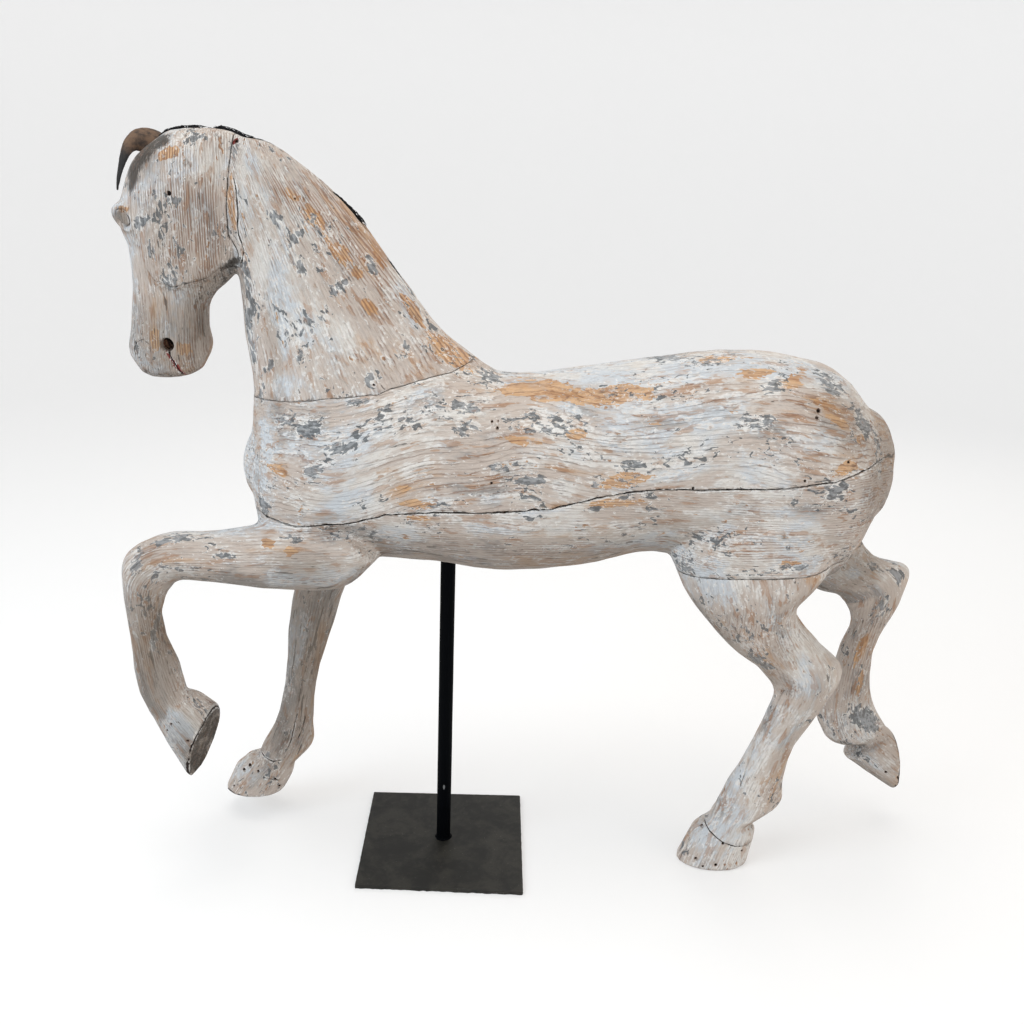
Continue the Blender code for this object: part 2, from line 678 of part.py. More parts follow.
def main():
    clear_scene()
    wood = material("limed_wood", (0.62, 0.56, 0.51), 0.75)
    leather = material("brown_leather", (0.16, 0.10, 0.065), 0.7)
    hair = material("mane_leather", (0.02, 0.018, 0.017), 0.9)
    black_steel = material("black_steel", (0.012, 0.012, 0.014), 0.5, 0.6)
    plate_steel = material("plate_steel", (0.055, 0.05, 0.045), 0.6, 0.7)
    _, belly, crest = build_horse(wood)
    swept_object("mane_strip", crest_rings(crest, MANE_THICKNESS / 2, 0.0), hair)
    swept_object("right_ear", ear_rings(), leather)
    build_rod(belly, black_steel)
    build_plate(plate_steel)


main()
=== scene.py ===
"""Looks of the carved carousel horse on its rod stand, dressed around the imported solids.

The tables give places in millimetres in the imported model's frame: x towards the rump, z up. The horse faces
-x, and its near side, the left, faces -y.
"""

import logging
import math
from collections.abc import Sequence
from dataclasses import dataclass
from enum import Enum

import bmesh
import bpy
import numpy as np
from mathutils import Matrix, Vector
from mathutils.bvhtree import BVHTree


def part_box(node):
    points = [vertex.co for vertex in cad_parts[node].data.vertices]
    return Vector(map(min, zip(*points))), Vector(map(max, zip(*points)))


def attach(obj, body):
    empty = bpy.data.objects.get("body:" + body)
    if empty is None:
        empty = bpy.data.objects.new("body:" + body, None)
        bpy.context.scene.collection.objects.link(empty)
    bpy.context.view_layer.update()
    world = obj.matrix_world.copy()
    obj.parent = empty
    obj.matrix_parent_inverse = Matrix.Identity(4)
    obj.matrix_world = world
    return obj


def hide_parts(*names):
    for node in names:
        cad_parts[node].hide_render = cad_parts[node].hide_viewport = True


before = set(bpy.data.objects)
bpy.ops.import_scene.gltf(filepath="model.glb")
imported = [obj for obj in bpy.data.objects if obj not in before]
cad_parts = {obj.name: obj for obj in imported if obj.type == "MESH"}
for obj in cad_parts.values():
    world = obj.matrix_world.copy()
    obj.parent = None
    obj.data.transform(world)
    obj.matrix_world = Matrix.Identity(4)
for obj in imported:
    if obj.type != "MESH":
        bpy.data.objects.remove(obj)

MM = 0.001
ROOT = "root"
NOISE_SPREAD = 0.13             # of one layer of Blender's noise
MOTTLE_ROUGHNESS = 0.6          # how strong each finer layer of a pattern is
HASH_PRIMES = (374761393, 668265263, 2147483647)
HASH_FACTOR = 1274126177
HASH_WORD = 0xFFFFFFFF
FAR_OUTSIDE = -50.0             # the depth inside an outline of places nowhere near it
Colour = tuple[float, float, float]
Array = np.ndarray
log = logging.getLogger("carousel_horse")


class Side(Enum):
    """A side of the horse, by the sign of its y."""

    NEAR = -1
    FAR = 1


@dataclass(frozen=True)
class Grit:
    """Smooth noise in space, the same at every run."""

    seed: int

    def corner(self, cells: Array) -> Array:
        """A steady random number from -1 to 1 for each whole-numbered cell."""
        mixed = (cells * np.array(HASH_PRIMES)).sum(axis=1) + self.seed * HASH_FACTOR
        mixed = mixed & HASH_WORD
        mixed = ((mixed ^ (mixed >> 13)) * HASH_FACTOR) & HASH_WORD
        return (mixed ^ (mixed >> 16)) / 2**31 - 1

    def at(self, places: Array) -> Array:
        """Noise from -1 to 1 with features about one unit wide.

        Args:
            places: Rows of x, y and z.

        Returns:
            One value a row.
        """
        cells = np.floor(places).astype(np.int64)
        inside = places - cells
        inside = inside * inside * (3 - 2 * inside)
        total = np.zeros(len(places))
        for offset in np.ndindex(2, 2, 2):
            weight = np.where(np.array(offset, bool), inside, 1 - inside).prod(axis=1)
            total += weight * self.corner(cells + offset)
        return total

    def layered(self, places: Array, layers: int = 3, fade: float = 0.5) -> Array:
        """Several layers of the noise, each twice as fine as the one before and weaker by fade."""
        total, strength = np.zeros(len(places)), 1.0
        for layer in range(layers):
            total += strength * self.at(places * 2**layer + 17.3 * layer)
            strength *= fade
        return total


def eased(value: Array) -> Array:
    """0 below 0 and 1 above 1, smooth at both ends."""
    value = np.clip(value, 0, 1)
    return value * value * (3 - 2 * value)


def from_line(places: Array, line: Array) -> tuple[Array, Array, Array]:
    """Where places lie by a line of straight runs.

    Args:
        places: Rows of coordinates, as many as the line's.
        line: The line's corners.

    Returns:
        The distance from the line, how far along it the nearest point is, and that run's number.
    """
    nearest, along = np.full(len(places), np.inf), np.zeros(len(places))
    number, start = np.zeros(len(places), int), 0.0
    for i, (low, high) in enumerate(zip(line, line[1:])):
        run = high - low
        length = np.linalg.norm(run)
        share = np.clip((places - low) @ run / length**2, 0, 1)
        away = np.linalg.norm(places - low - share[:, None] * run, axis=1)
        closer = away < nearest
        nearest = np.where(closer, away, nearest)
        along = np.where(closer, start + share * length, along)
        number = np.where(closer, i, number)
        start += length
    return nearest, along, number


def rounded(line: Array) -> Array:
    """The line with its corners cut off three times over."""
    for _ in range(3):
        cut = np.stack([0.75 * line[:-1] + 0.25 * line[1:], 0.25 * line[:-1] + 0.75 * line[1:]], 1)
        line = np.concatenate([line[:1], cut.reshape(-1, line.shape[1]), line[-1:]])
    return line


class Skin:
    """An object's vertices as arrays, in millimetres."""

    def __init__(self, obj: bpy.types.Object) -> None:
        """Reads the object's mesh."""
        self.mesh = obj.data
        self.points = self.read("co") / MM
        self.normals = self.read("normal")
        edges = np.empty(len(self.mesh.edges) * 2, np.int32)
        self.mesh.edges.foreach_get("vertices", edges)
        self.edges = edges.reshape(-1, 2)

    def read(self, name: str) -> Array:
        """A vertex value of the mesh, as rows of three."""
        values = np.empty(len(self.mesh.vertices) * 3, np.float32)
        self.mesh.vertices.foreach_get(name, values)
        return values.reshape(-1, 3).astype(float)

    def write(self) -> None:
        """Puts the points back into the mesh."""
        self.mesh.vertices.foreach_set("co", (self.points * MM).astype(np.float32).ravel())
        self.mesh.update()
        self.normals = self.read("normal")

    def relaxed(self, points: Array, passes: int) -> Array:
        """The points after each has moved halfway to the middle of its neighbours.

        Args:
            points: The points to start from.
            passes: How many times they move.

        Returns:
            The points.
        """
        count = np.bincount(self.edges.ravel(), minlength=len(points))[:, None]
        for _ in range(passes):
            total = np.stack([
                np.bincount(self.edges[:, 0], points[self.edges[:, 1], axis], len(points))
                + np.bincount(self.edges[:, 1], points[self.edges[:, 0], axis], len(points))
                for axis in range(3)
            ], 1)
            points = points + 0.5 * (total / np.maximum(count, 1) - points)
        return points

    def lose_facets(self, passes: int) -> None:
        """Smooths the facets out without thinning the form."""
        once = self.relaxed(self.points, passes)
        self.points = 2 * once - self.relaxed(once, passes)
        self.write()

    def store(self, name: str, kind: str, values: Array) -> None:
        """Keeps values on the vertices for the finish to read.

        Args:
            name: The attribute's name.
            kind: FLOAT_VECTOR or FLOAT_COLOR.
            values: A row for each vertex.
        """
        attribute = self.mesh.attributes.new(name, kind, "POINT")
        field = "vector" if kind == "FLOAT_VECTOR" else "color"
        attribute.data.foreach_set(field, values.astype(np.float32).ravel())


def copy_of_node(node: str, name: str) -> bpy.types.Object:
    """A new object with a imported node's mesh, its split vertices joined again.

    Args:
        node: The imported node.
        name: The object's name.

    Returns:
        The object.
    """
    mesh = bmesh.new()
    mesh.from_mesh(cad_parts[node].data)
    bmesh.ops.remove_doubles(mesh, verts=mesh.verts, dist=1e-6)
    data = bpy.data.meshes.new(name)
    mesh.to_mesh(data)
    mesh.free()
    return shown(name, data)


def shown(name: str, data: bpy.types.Mesh) -> bpy.types.Object:
    """A new object in the scene that shows the mesh."""
    obj = bpy.data.objects.new(name, data)
    bpy.context.scene.collection.objects.link(obj)
    return obj


def lofted(name: str, rings: Sequence[Array], closed: bool = True) -> bpy.types.Object:
    """A new object whose skin runs through rings of equally many points.

    Args:
        name: The object's name.
        rings: Each ring's points in metres.
        closed: Whether the first and last rings are covered.

    Returns:
        The object, its faces pointing out.
    """
    mesh = bmesh.new()
    add_loft(mesh, rings, closed)
    return from_bmesh(name, mesh)


def add_loft(mesh: bmesh.types.BMesh, rings: Sequence[Array], closed: bool = True) -> None:
    """Adds a skin through the rings to the mesh.

    Args:
        mesh: The mesh.
        rings: Each ring's points in metres.
        closed: Whether the first and last rings are covered.
    """
    loops = [[mesh.verts.new(point) for point in ring] for ring in rings]
    count = len(loops[0])
    for low, high in zip(loops, loops[1:]):
        for i in range(count):
            j = (i + 1) % count
            mesh.faces.new((low[i], low[j], high[j], high[i]))
    if closed:
        mesh.faces.new(loops[0][::-1])
        mesh.faces.new(loops[-1])


def from_bmesh(name: str, mesh: bmesh.types.BMesh) -> bpy.types.Object:
    """A new smooth-shaded object from the mesh, which is freed.

    Args:
        name: The object's name.
        mesh: The mesh.

    Returns:
        The object.
    """
    bmesh.ops.recalc_face_normals(mesh, faces=mesh.faces)
    data = bpy.data.meshes.new(name)
    mesh.to_mesh(data)
    mesh.free()
    data.shade_smooth()
    return shown(name, data)


def applied(obj: bpy.types.Object, kind: str, **settings: object) -> None:
    """Adds a modifier to the object and applies it.

    Args:
        obj: The object to change.
        kind: The modifier's type.
        **settings: The modifier's own settings.
    """
    modifier = obj.modifiers.new(kind.lower(), kind)
    for name, value in settings.items():
        setattr(modifier, name, value)
    bpy.context.view_layer.update()
    made = bpy.data.meshes.new_from_object(obj.evaluated_get(bpy.context.evaluated_depsgraph_get()))
    obj.modifiers.clear()
    obj.data = made


def dressed(obj: bpy.types.Object, node: str, finish: bpy.types.Material) -> None:
    """Hands a finished piece over to the frame.

    Args:
        obj: The piece.
        node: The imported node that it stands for.
        finish: The piece's material.
    """
    obj.data.materials.clear()
    obj.data.materials.append(finish)
    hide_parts(node)
    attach(obj, ROOT)
    log.info("%s stands for %s: %d vertices", obj.name, node, len(obj.data.vertices))


class Link:
    """A socket's value in a material. Python's operators on it add Math nodes."""

    def __init__(self, tree: "ShaderTree", socket: bpy.types.NodeSocket) -> None:
        """Wraps an output socket."""
        self.tree, self.socket = tree, socket

    def __add__(self, other: "Link | float") -> "Link":
        """The sum."""
        return self.tree.math("ADD", self, other)

    def __radd__(self, other: float) -> "Link":
        """The sum, reflected."""
        return self.tree.math("ADD", other, self)

    def __sub__(self, other: "Link | float") -> "Link":
        """The difference."""
        return self.tree.math("SUBTRACT", self, other)

    def __rsub__(self, other: float) -> "Link":
        """The difference, reflected."""
        return self.tree.math("SUBTRACT", other, self)

    def __mul__(self, other: "Link | float") -> "Link":
        """The product."""
        return self.tree.math("MULTIPLY", self, other)

    def __rmul__(self, other: float) -> "Link":
        """The product, reflected."""
        return self.tree.math("MULTIPLY", other, self)


Value = Link | float | Sequence[float]


@dataclass(frozen=True)
class Pattern:
    """Noise that is drawn out along the grain."""

    along: float                    # features on a metre along the grain
    across: float                   # features on a metre across it
    detail: int = 2                 # finer layers
    offset: tuple[float, float, float] = (0.0, 0.0, 0.0)    # what makes it differ from others
    distortion: float = 0.0         # how far its shapes are bent


class ShaderTree:
    """A material under construction."""

    def __init__(self, name: str) -> None:
        """Starts an empty material."""
        self.material = bpy.data.materials.new(name)
        self.material.use_nodes = True
        self.nodes = self.material.node_tree.nodes
        self.links = self.material.node_tree.links
        self.nodes.clear()

    def node(self, kind: str, settings: dict | None = None, sockets: dict | None = None) -> bpy.types.Node:
        """Adds a node.

        Args:
            kind: The node's type.
            settings: Its settings.
            sockets: The values or links of its input sockets, by name or number.

        Returns:
            The node.
        """
        made = self.nodes.new(kind)
        for name, value in (settings or {}).items():
            setattr(made, name, value)
        for name, value in (sockets or {}).items():
            if isinstance(value, Link):
                self.links.new(value.socket, made.inputs[name])
            elif isinstance(value, (tuple, list)) and made.inputs[name].type == "RGBA":
                made.inputs[name].default_value = (*value, 1.0)
            else:
                made.inputs[name].default_value = value
        return made

    def math(self, operation: str, *values: Value) -> Link:
        """A Math node's result."""
        made = self.node("ShaderNodeMath", {"operation": operation}, dict(enumerate(values)))
        return Link(self, made.outputs[0])

    def stretched(self, vector: Link, factors: Sequence[float]) -> Link:
        """The vector times three factors."""
        made = self.node("ShaderNodeVectorMath", {"operation": "MULTIPLY"}, {0: vector, 1: tuple(factors)})
        return Link(self, made.outputs[0])

    def moved(self, vector: Link, offset: Value) -> Link:
        """The vector plus an offset."""
        made = self.node("ShaderNodeVectorMath", {"operation": "ADD"}, {0: vector, 1: offset})
        return Link(self, made.outputs[0])

    def blend(self, share: Value, low: Value, high: Value) -> Link:
        """A colour between two others."""
        made = self.node("ShaderNodeMix", {"data_type": "RGBA"}, {0: share, 6: low, 7: high})
        return Link(self, made.outputs[2])

    def noise(self, where: Link, detail: float, roughness: float, distortion: float = 0.0) -> Link:
        """Noise from 0 to 1 with features about one unit wide."""
        made = self.node("ShaderNodeTexNoise", {}, {
            "Vector": where, "Scale": 1.0, "Detail": detail, "Roughness": roughness,
            "Distortion": distortion,
        })
        return Link(self, made.outputs[0])

    def mottle(self, grain: Link, pattern: Pattern) -> Link:
        """Noise about 0, most of it between -2 and 2.

        Args:
            grain: The place along and across the grain.
            pattern: What the noise is like.

        Returns:
            The noise.
        """
        layers = [MOTTLE_ROUGHNESS**i for i in range(pattern.detail + 1)]
        spread = NOISE_SPREAD * math.sqrt(sum(layer**2 for layer in layers)) / sum(layers)
        drawn_out = self.stretched(grain, (pattern.along, pattern.across, pattern.across))
        place = self.moved(drawn_out, pattern.offset)
        raw = self.noise(place, pattern.detail, MOTTLE_ROUGHNESS, pattern.distortion)
        return self.math("MULTIPLY_ADD", raw, 1 / spread, -0.5 / spread)

    def step(self, value: Link, low: float, high: float) -> Link:
        """0 where the value is below low and 1 where it is above high, smooth between."""
        made = self.node("ShaderNodeMapRange", {"interpolation_type": "SMOOTHSTEP"}, {
            "Value": value, "From Min": low, "From Max": high, "To Min": 0.0, "To Max": 1.0,
        })
        return Link(self, made.outputs[0])

    def place(self) -> Link:
        """The place on the object, in metres."""
        return Link(self, self.node("ShaderNodeTexCoord").outputs["Object"])

    def stored_vector(self, name: str) -> Link:
        """A vector kept on the vertices."""
        return Link(self, self.node("ShaderNodeAttribute", {"attribute_name": name}).outputs["Vector"])

    def apart(self, vector: Link) -> tuple[Link, Link, Link]:
        """The three numbers of a vector."""
        parts = self.node("ShaderNodeSeparateXYZ", {}, {0: vector})
        first, second, third = (Link(self, output) for output in parts.outputs)
        return first, second, third

    def stored_values(self, name: str) -> tuple[Link, Link, Link, Link]:
        """The four values of a colour kept on the vertices."""
        attribute = self.node("ShaderNodeAttribute", {"attribute_name": name})
        parts = self.node("ShaderNodeSeparateColor", {}, {0: Link(self, attribute.outputs["Color"])})
        first, second, third = (Link(self, output) for output in parts.outputs)
        return first, second, third, Link(self, attribute.outputs["Alpha"])

    def finish(self, height: Link | None = None, **sockets: Value) -> bpy.types.Material:
        """Closes the material with a Principled shader.

        Args:
            height: The relief in metres, for a Bump node.
            **sockets: The shader's values or links, their names with underscores for spaces.

        Returns:
            The material.
        """
        named = {name.replace("_", " "): value for name, value in sockets.items()}
        if height is not None:
            bump = self.node("ShaderNodeBump", {}, {"Strength": 1.0, "Distance": 1.0, "Height": height})
            named["Normal"] = Link(self, bump.outputs[0])
        shader = self.node("ShaderNodeBsdfPrincipled", {}, named)
        self.node("ShaderNodeOutputMaterial", {}, {"Surface": Link(self, shader.outputs[0])})
        return self.material


class WoodValues:
    """What the finish of the wood reads at each place: what the horse keeps on its vertices, and noise."""

    def __init__(self, tree: ShaderTree) -> None:
        """Adds the nodes that give the values."""
        grain = tree.stored_vector("grain")
        self.bare, self.slate, self.chalk, self.ridged = tree.stored_values("paint")
        # Soot with the ear's painted shadow, pits with the bit hole's painted shade, old red, and dirt with
        # painted shade
        self.soot_and_shadow, self.pit, self.red, self.dirt_and_shade = tree.stored_values("wear")
        self.from_seam, self.seam, self.seam_width = tree.apart(tree.stored_vector("seam"))
        # The normal's x, for painted light: warmer tan on faces towards the rump, bluer and greyer on faces
        # towards the head
        self.forward, _, _ = tree.apart(Link(tree, tree.node("ShaderNodeNewGeometry").outputs["Normal"]))

        self.fibre = tree.mottle(grain, Pattern(28, 430))
        self.streak = tree.mottle(grain, Pattern(7, 80))
        self.cloud = tree.mottle(grain, Pattern(5, 9, 1, (3.1, 7.7, 1.3)))
        self.blotch = tree.mottle(grain, Pattern(20, 38, 3, (0.0, 4.0, 2.0)))
        self.fleck = tree.mottle(grain, Pattern(95, 190, 2, (1.0, 0.0, 6.0)))
        self.stroke = tree.mottle(grain, Pattern(20, 85, 2, (8.0, 3.0, 0.0)))
        self.tint = tree.mottle(grain, Pattern(7, 14, 2, (2.0, 5.0, 4.0)))
        self.crowd = tree.mottle(grain, Pattern(9, 15, 2, (5.0, 1.0, 9.0)))
        self.chip = tree.mottle(grain, Pattern(62, 110, 3, (11.0, 2.0, 5.0), 0.8))
        self.slit = tree.mottle(grain, Pattern(13, 120, 2, (6.0, 6.0, 1.0)))

        self.ridge = self.ring_edges(tree)
        self.gouge = tree.step(self.stroke + self.fleck * 0.15, 1.15, 1.45)
        worn = self.bare * 3.0 + self.blotch * 0.5 + self.fleck * 0.35 + self.streak * 0.3
        self.bared = tree.step(worn, 1.7, 1.9)
        self.crowded = self.slate * 3.0 + self.crowd * 0.75
        self.scab = self.crowded + self.chip * 0.9 + self.fibre * 0.12 - self.bared * 0.4
        self.scabbed = tree.step(self.scab, 2.15, 2.28)

        away = tree.math("ABSOLUTE", self.from_seam + self.fleck * 0.18 + self.blotch * 0.2)
        chipped = (1 - tree.step(away, 2.2, 5.0)) * tree.step(self.fleck + self.blotch, -0.4, 0.8)
        self.lip = chipped * tree.step(self.seam, 0.5, 1.0)
        broken = tree.step(self.seam * 2.4 + self.blotch * 0.3, 0.9, 1.7)
        self.open_seam = (1 - tree.step(away - self.seam_width, -0.35, 0.35)) * broken

    def ring_edges(self, tree: ShaderTree) -> Link:
        """The hard edges of the growth rings that the carving cuts through.

        Args:
            tree: The material under construction.

        Returns:
            Their strength, from 0 to 1.
        """
        count, showing, width = tree.apart(tree.stored_vector("rings"))
        share = tree.math("FRACT", count + self.streak * 0.16 + self.fleck * 0.03)
        return tree.step(share + width, 0.95, 1.25) * (1 - tree.step(share, 0.94, 1.0)) * showing


@dataclass(frozen=True)
class LimedWood:
    """Weathered softwood under worn limewash, with scabs of old slate-coloured paint and bare patches.

    Each layer's method takes the material, the values that it reads and the colour under it, and returns the
    colour with the layer over it.
    """

    ridge: Colour = (0.235, 0.125, 0.08)
    # Tan of the film, also painted warm light on faces towards the rump
    tan_film_and_warm_light: Colour = (0.50, 0.35, 0.245)
    pink_film: Colour = (0.52, 0.45, 0.40)
    # Grey of the film, also painted shade and painted cool light
    grey_film_and_shade: Colour = (0.32, 0.30, 0.285)
    chalk: Colour = (0.66, 0.635, 0.60)
    # Blue chalk, also painted cool light on faces towards the head
    blue_chalk_and_cool_light: Colour = (0.57, 0.605, 0.64)
    chalk_white: Colour = (0.80, 0.785, 0.76)
    bare_wood: Colour = (0.62, 0.38, 0.20)
    bare_wood_dark: Colour = (0.38, 0.185, 0.075)
    slate: Colour = (0.105, 0.118, 0.128)
    slate_light: Colour = (0.30, 0.315, 0.33)
    # Brown-grey for dirt and painted shade
    dirt_and_shade_brown: Colour = (0.155, 0.132, 0.108)
    # Near-black for soot, slits and the ear's painted shadow
    soot_and_shadow: Colour = (0.06, 0.05, 0.042)
    crack: Colour = (0.016, 0.010, 0.008)
    old_red: Colour = (0.20, 0.03, 0.025)

    def material(self) -> bpy.types.Material:
        """Builds the finish.

        Returns:
            The material, which reads the grain, rings, paint, wear and seams kept on the vertices.
        """
        tree = ShaderTree("limed_wood")
        at = WoodValues(tree)
        colour = self.film(tree, at)
        for layer in (self.limewashed, self.worn_bare, self.with_scabs, self.dirtied_and_shaded, self.with_openings):
            colour = layer(tree, at, colour)
        height = at.ridge * 0.0009 + at.fibre * 0.0001 + at.stroke * 0.0006 + at.scabbed * 0.0004
        height = height + at.blotch * 0.0005 - at.gouge * 0.0004 - at.open_seam * 0.001
        return tree.finish(
            height,
            Base_Color=colour,
            Roughness=0.86 - at.scabbed * 0.22 - at.bared * 0.16,
            Specular_IOR_Level=0.25,
        )

    def film(self, tree: ShaderTree, at: WoodValues) -> Link:
        """The thin film of old wash over all of it, tan, pink or grey, tanner on faces towards the rump as
        painted warm light and greyer on faces towards the head as painted cool light, and where dirt and
        painted shade lie.

        Args:
            tree: The material under construction.
            at: The values that it reads.

        Returns:
            The colour.
        """
        tan_and_warm_light = at.tint * 0.8 + at.streak * 0.45 + at.ridged * 0.5 + at.bare * 1.8
        tan_and_warm_light = tree.step(tan_and_warm_light - at.chalk + at.forward * 0.8, 0.9, 2.6)
        grey_and_shade = at.blotch * 0.5 + at.fleck * 0.2 + at.dirt_and_shade - at.tint * 0.8 - at.forward * 0.8
        grey_and_shade = tree.step(grey_and_shade, 0.2, 2.2)
        film = tree.blend(tan_and_warm_light, tree.blend(grey_and_shade, self.pink_film, self.grey_film_and_shade), self.tan_film_and_warm_light)
        fibres = tree.step(at.fibre * 0.8 + at.stroke * 0.8, 0.5, 2.8)
        return tree.blend(fibres * 0.5, film, self.ridge)

    def limewashed(self, tree: ShaderTree, at: WoodValues, colour: Link) -> Link:
        """Chalky wash, with gouge strokes and the edges of growth rings worn through it, thinner under dirt
        and painted shade and bluer on faces towards the head as painted cool light.
        """
        cover = at.chalk * 1.5 + at.cloud * 0.85 + at.blotch * 0.5 + at.streak * 0.25 - at.ridged * 0.45
        cover = cover - at.dirt_and_shade * 1.5 + 0.4
        veil = tree.step(cover + at.fibre * 0.25 + at.fleck * 0.2, -0.5, 1.9)
        crisp = tree.step(cover + at.blotch * 0.5 + at.fleck * 0.35 + at.fibre * 0.2 - at.gouge, 1.15, 1.6)
        # Bluer on faces towards the head, as painted cool light
        cool_tone_and_light = at.cloud * 0.5 - at.tint + at.blotch * 0.3 - at.forward * 2.2
        white = tree.blend(tree.step(cool_tone_and_light, -0.3, 1.6), self.chalk, self.blue_chalk_and_cool_light)
        white = tree.blend(tree.step(at.blotch + at.fleck * 0.6, 0.4, 2.4), white, self.chalk_white)
        colour = tree.blend(veil * 0.75, colour, white)
        colour = tree.blend(crisp * 0.7, colour, white)
        strokes = at.gouge * (0.34 - crisp * 0.2 + at.ridged * 0.2)
        colour = tree.blend(strokes, colour, self.bare_wood_dark)
        line = at.ridge * tree.step(at.ridged * 1.4 + at.blotch * 0.5 - at.chalk * 0.4, -0.3, 0.9)
        return tree.blend(line * (0.75 - crisp * 0.35), colour, self.ridge)

    def worn_bare(self, tree: ShaderTree, at: WoodValues, colour: Link) -> Link:
        """Bare wood where the wash is gone."""
        plain = tree.step(at.streak * 0.7 + at.fibre * 0.6, -1.9, 1.2)
        plain = tree.blend(plain, self.bare_wood_dark, self.bare_wood)
        plain = tree.blend(tree.step(at.blotch, -2.4, 0.4), self.tan_film_and_warm_light, plain)
        colour = tree.blend(at.bared * 0.88, colour, plain)
        return tree.blend(at.bared * at.ridge * 0.7, colour, self.ridge)

    def with_scabs(self, tree: ShaderTree, at: WoodValues, colour: Link) -> Link:
        """Scabs of old paint with white rims, and white dabs among them."""
        rimmed = tree.step(at.scab, 1.45, 1.85) * (1 - at.scabbed) * tree.step(at.fleck, -0.6, 0.5)
        dabbed = tree.step(at.crowded * 0.45 + at.fleck * 0.5 - at.chip * 0.8, 1.75, 1.95)
        colour = tree.blend(rimmed * 0.75 + dabbed * 0.6, colour, self.chalk_white)
        old = tree.step(at.fleck * 0.8 + at.blotch * 0.5 + at.slate * 1.2, -0.4, 2.0)
        old = tree.blend(old, self.slate, self.slate_light)
        return tree.blend(at.scabbed * 0.88, colour, old)

    def dirtied_and_shaded(self, tree: ShaderTree, at: WoodValues, colour: Link) -> Link:
        """Dark slits along the grain, dirt with painted shade, soot with the ear's painted shadow, and a
        trace of old red.
        """
        slit = tree.step(at.slit + at.dirt_and_shade * 1.7 - 1.7 + at.fleck * 0.2, 1.35, 1.55)
        colour = tree.blend(slit * 0.75, colour, self.soot_and_shadow)
        # Dirt and painted shade darken it towards brown-grey
        colour = tree.blend(at.dirt_and_shade * 0.66, colour, self.dirt_and_shade_brown)
        # Soot, and the ear's painted shadow on the forehead
        soot_and_shadow_mask = tree.step(at.soot_and_shadow * 3.2 + at.blotch * 0.5 + at.fibre * 0.3, 0.5, 2.9)
        colour = tree.blend(soot_and_shadow_mask * 0.92, colour, self.soot_and_shadow)
        return tree.blend(tree.step(at.red + at.fleck * 0.12, 0.4, 0.6), colour, self.old_red)

    def with_openings(self, tree: ShaderTree, at: WoodValues, colour: Link) -> Link:
        """Open joints with pale lips, and holes with brown rims, the bit hole darkened as painted shade."""
        colour = tree.blend(at.lip * 0.85, colour, self.chalk_white)
        colour = tree.blend(at.open_seam, colour, self.crack)
        # The bit hole's painted shade darkens it like the pits
        hole = at.pit + at.fleck * 0.09 + at.blotch * 0.09
        colour = tree.blend(tree.step(hole, 0.12, 0.5) * 0.6, colour, self.ridge)
        return tree.blend(tree.step(hole, 0.42, 0.85), colour, self.crack)


@dataclass(frozen=True)
class OldLeather:
    """Dry brown leather, darker where it droops."""

    tan: Colour = (0.15, 0.09, 0.055)
    brown: Colour = (0.045, 0.03, 0.022)
    dark: Colour = (0.012, 0.011, 0.011)
    droop_height: float = 1.243

    def material(self) -> bpy.types.Material:
        """Builds the finish."""
        tree = ShaderTree("brown_leather")
        place = tree.place()
        pores = tree.noise(tree.stretched(place, (1100, 1100, 1100)), 3, 0.6)
        folds = tree.noise(tree.stretched(place, (70, 160, 70)), 3, 0.6)
        parts = tree.node("ShaderNodeSeparateXYZ", {}, {0: place})
        height = Link(tree, parts.outputs[2])
        folded = height + (folds - 0.5) * 0.01
        low = 1 - tree.step(folded, self.droop_height - 0.006, self.droop_height + 0.026)
        colour = tree.blend(tree.step(folds, 0.35, 0.62), self.brown, self.tan)
        colour = tree.blend(low, colour, self.dark)
        return tree.finish(
            folds * 0.0006 + pores * 0.00012, Base_Color=colour, Roughness=0.62 + pores * 0.2,
            Specular_IOR_Level=0.35,
        )


@dataclass(frozen=True)
class BlackHair:
    """Black leather and matted hair."""

    dark: Colour = (0.006, 0.006, 0.007)
    grey: Colour = (0.035, 0.034, 0.036)

    def material(self) -> bpy.types.Material:
        """Builds the finish."""
        tree = ShaderTree("mane_leather")
        matted = tree.noise(tree.stretched(tree.place(), (300, 700, 300)), 4, 0.7)
        colour = tree.blend(tree.step(matted, 0.42, 0.75), self.dark, self.grey)
        return tree.finish(matted * 0.0008, Base_Color=colour, Roughness=0.92, Specular_IOR_Level=0.2)


@dataclass(frozen=True)
class BlackPaint:
    """Matt black paint on steel, with one chip down to grey primer."""

    black: Colour = (0.001, 0.0014, 0.0022)
    primer: Colour = (0.16, 0.165, 0.17)
    chip: tuple[float, float, float] = (0.0, -0.0134, 0.124)
    chip_reach: tuple[float, float, float] = (0.0023, 0.01, 0.0055)

    def material(self) -> bpy.types.Material:
        """Builds the finish."""
        tree = ShaderTree("black_steel")
        place = tree.place()
        brushed = tree.noise(tree.stretched(place, (240, 240, 60)), 3, 0.6)
        off = tree.moved(place, tuple(-c for c in self.chip))
        off = tree.stretched(off, tuple(1 / reach for reach in self.chip_reach))
        length = tree.node("ShaderNodeVectorMath", {"operation": "LENGTH"}, {0: off})
        away = Link(tree, length.outputs["Value"])
        chipped = 1 - tree.step(away + (brushed - 0.5) * 0.6, 0.75, 0.95)
        colour = tree.blend(chipped, self.black, self.primer)
        return tree.finish(
            brushed * 0.0001 - chipped * 0.0003, Base_Color=colour, Roughness=0.5 + brushed * 0.18,
            Specular_IOR_Level=0.03,
        )


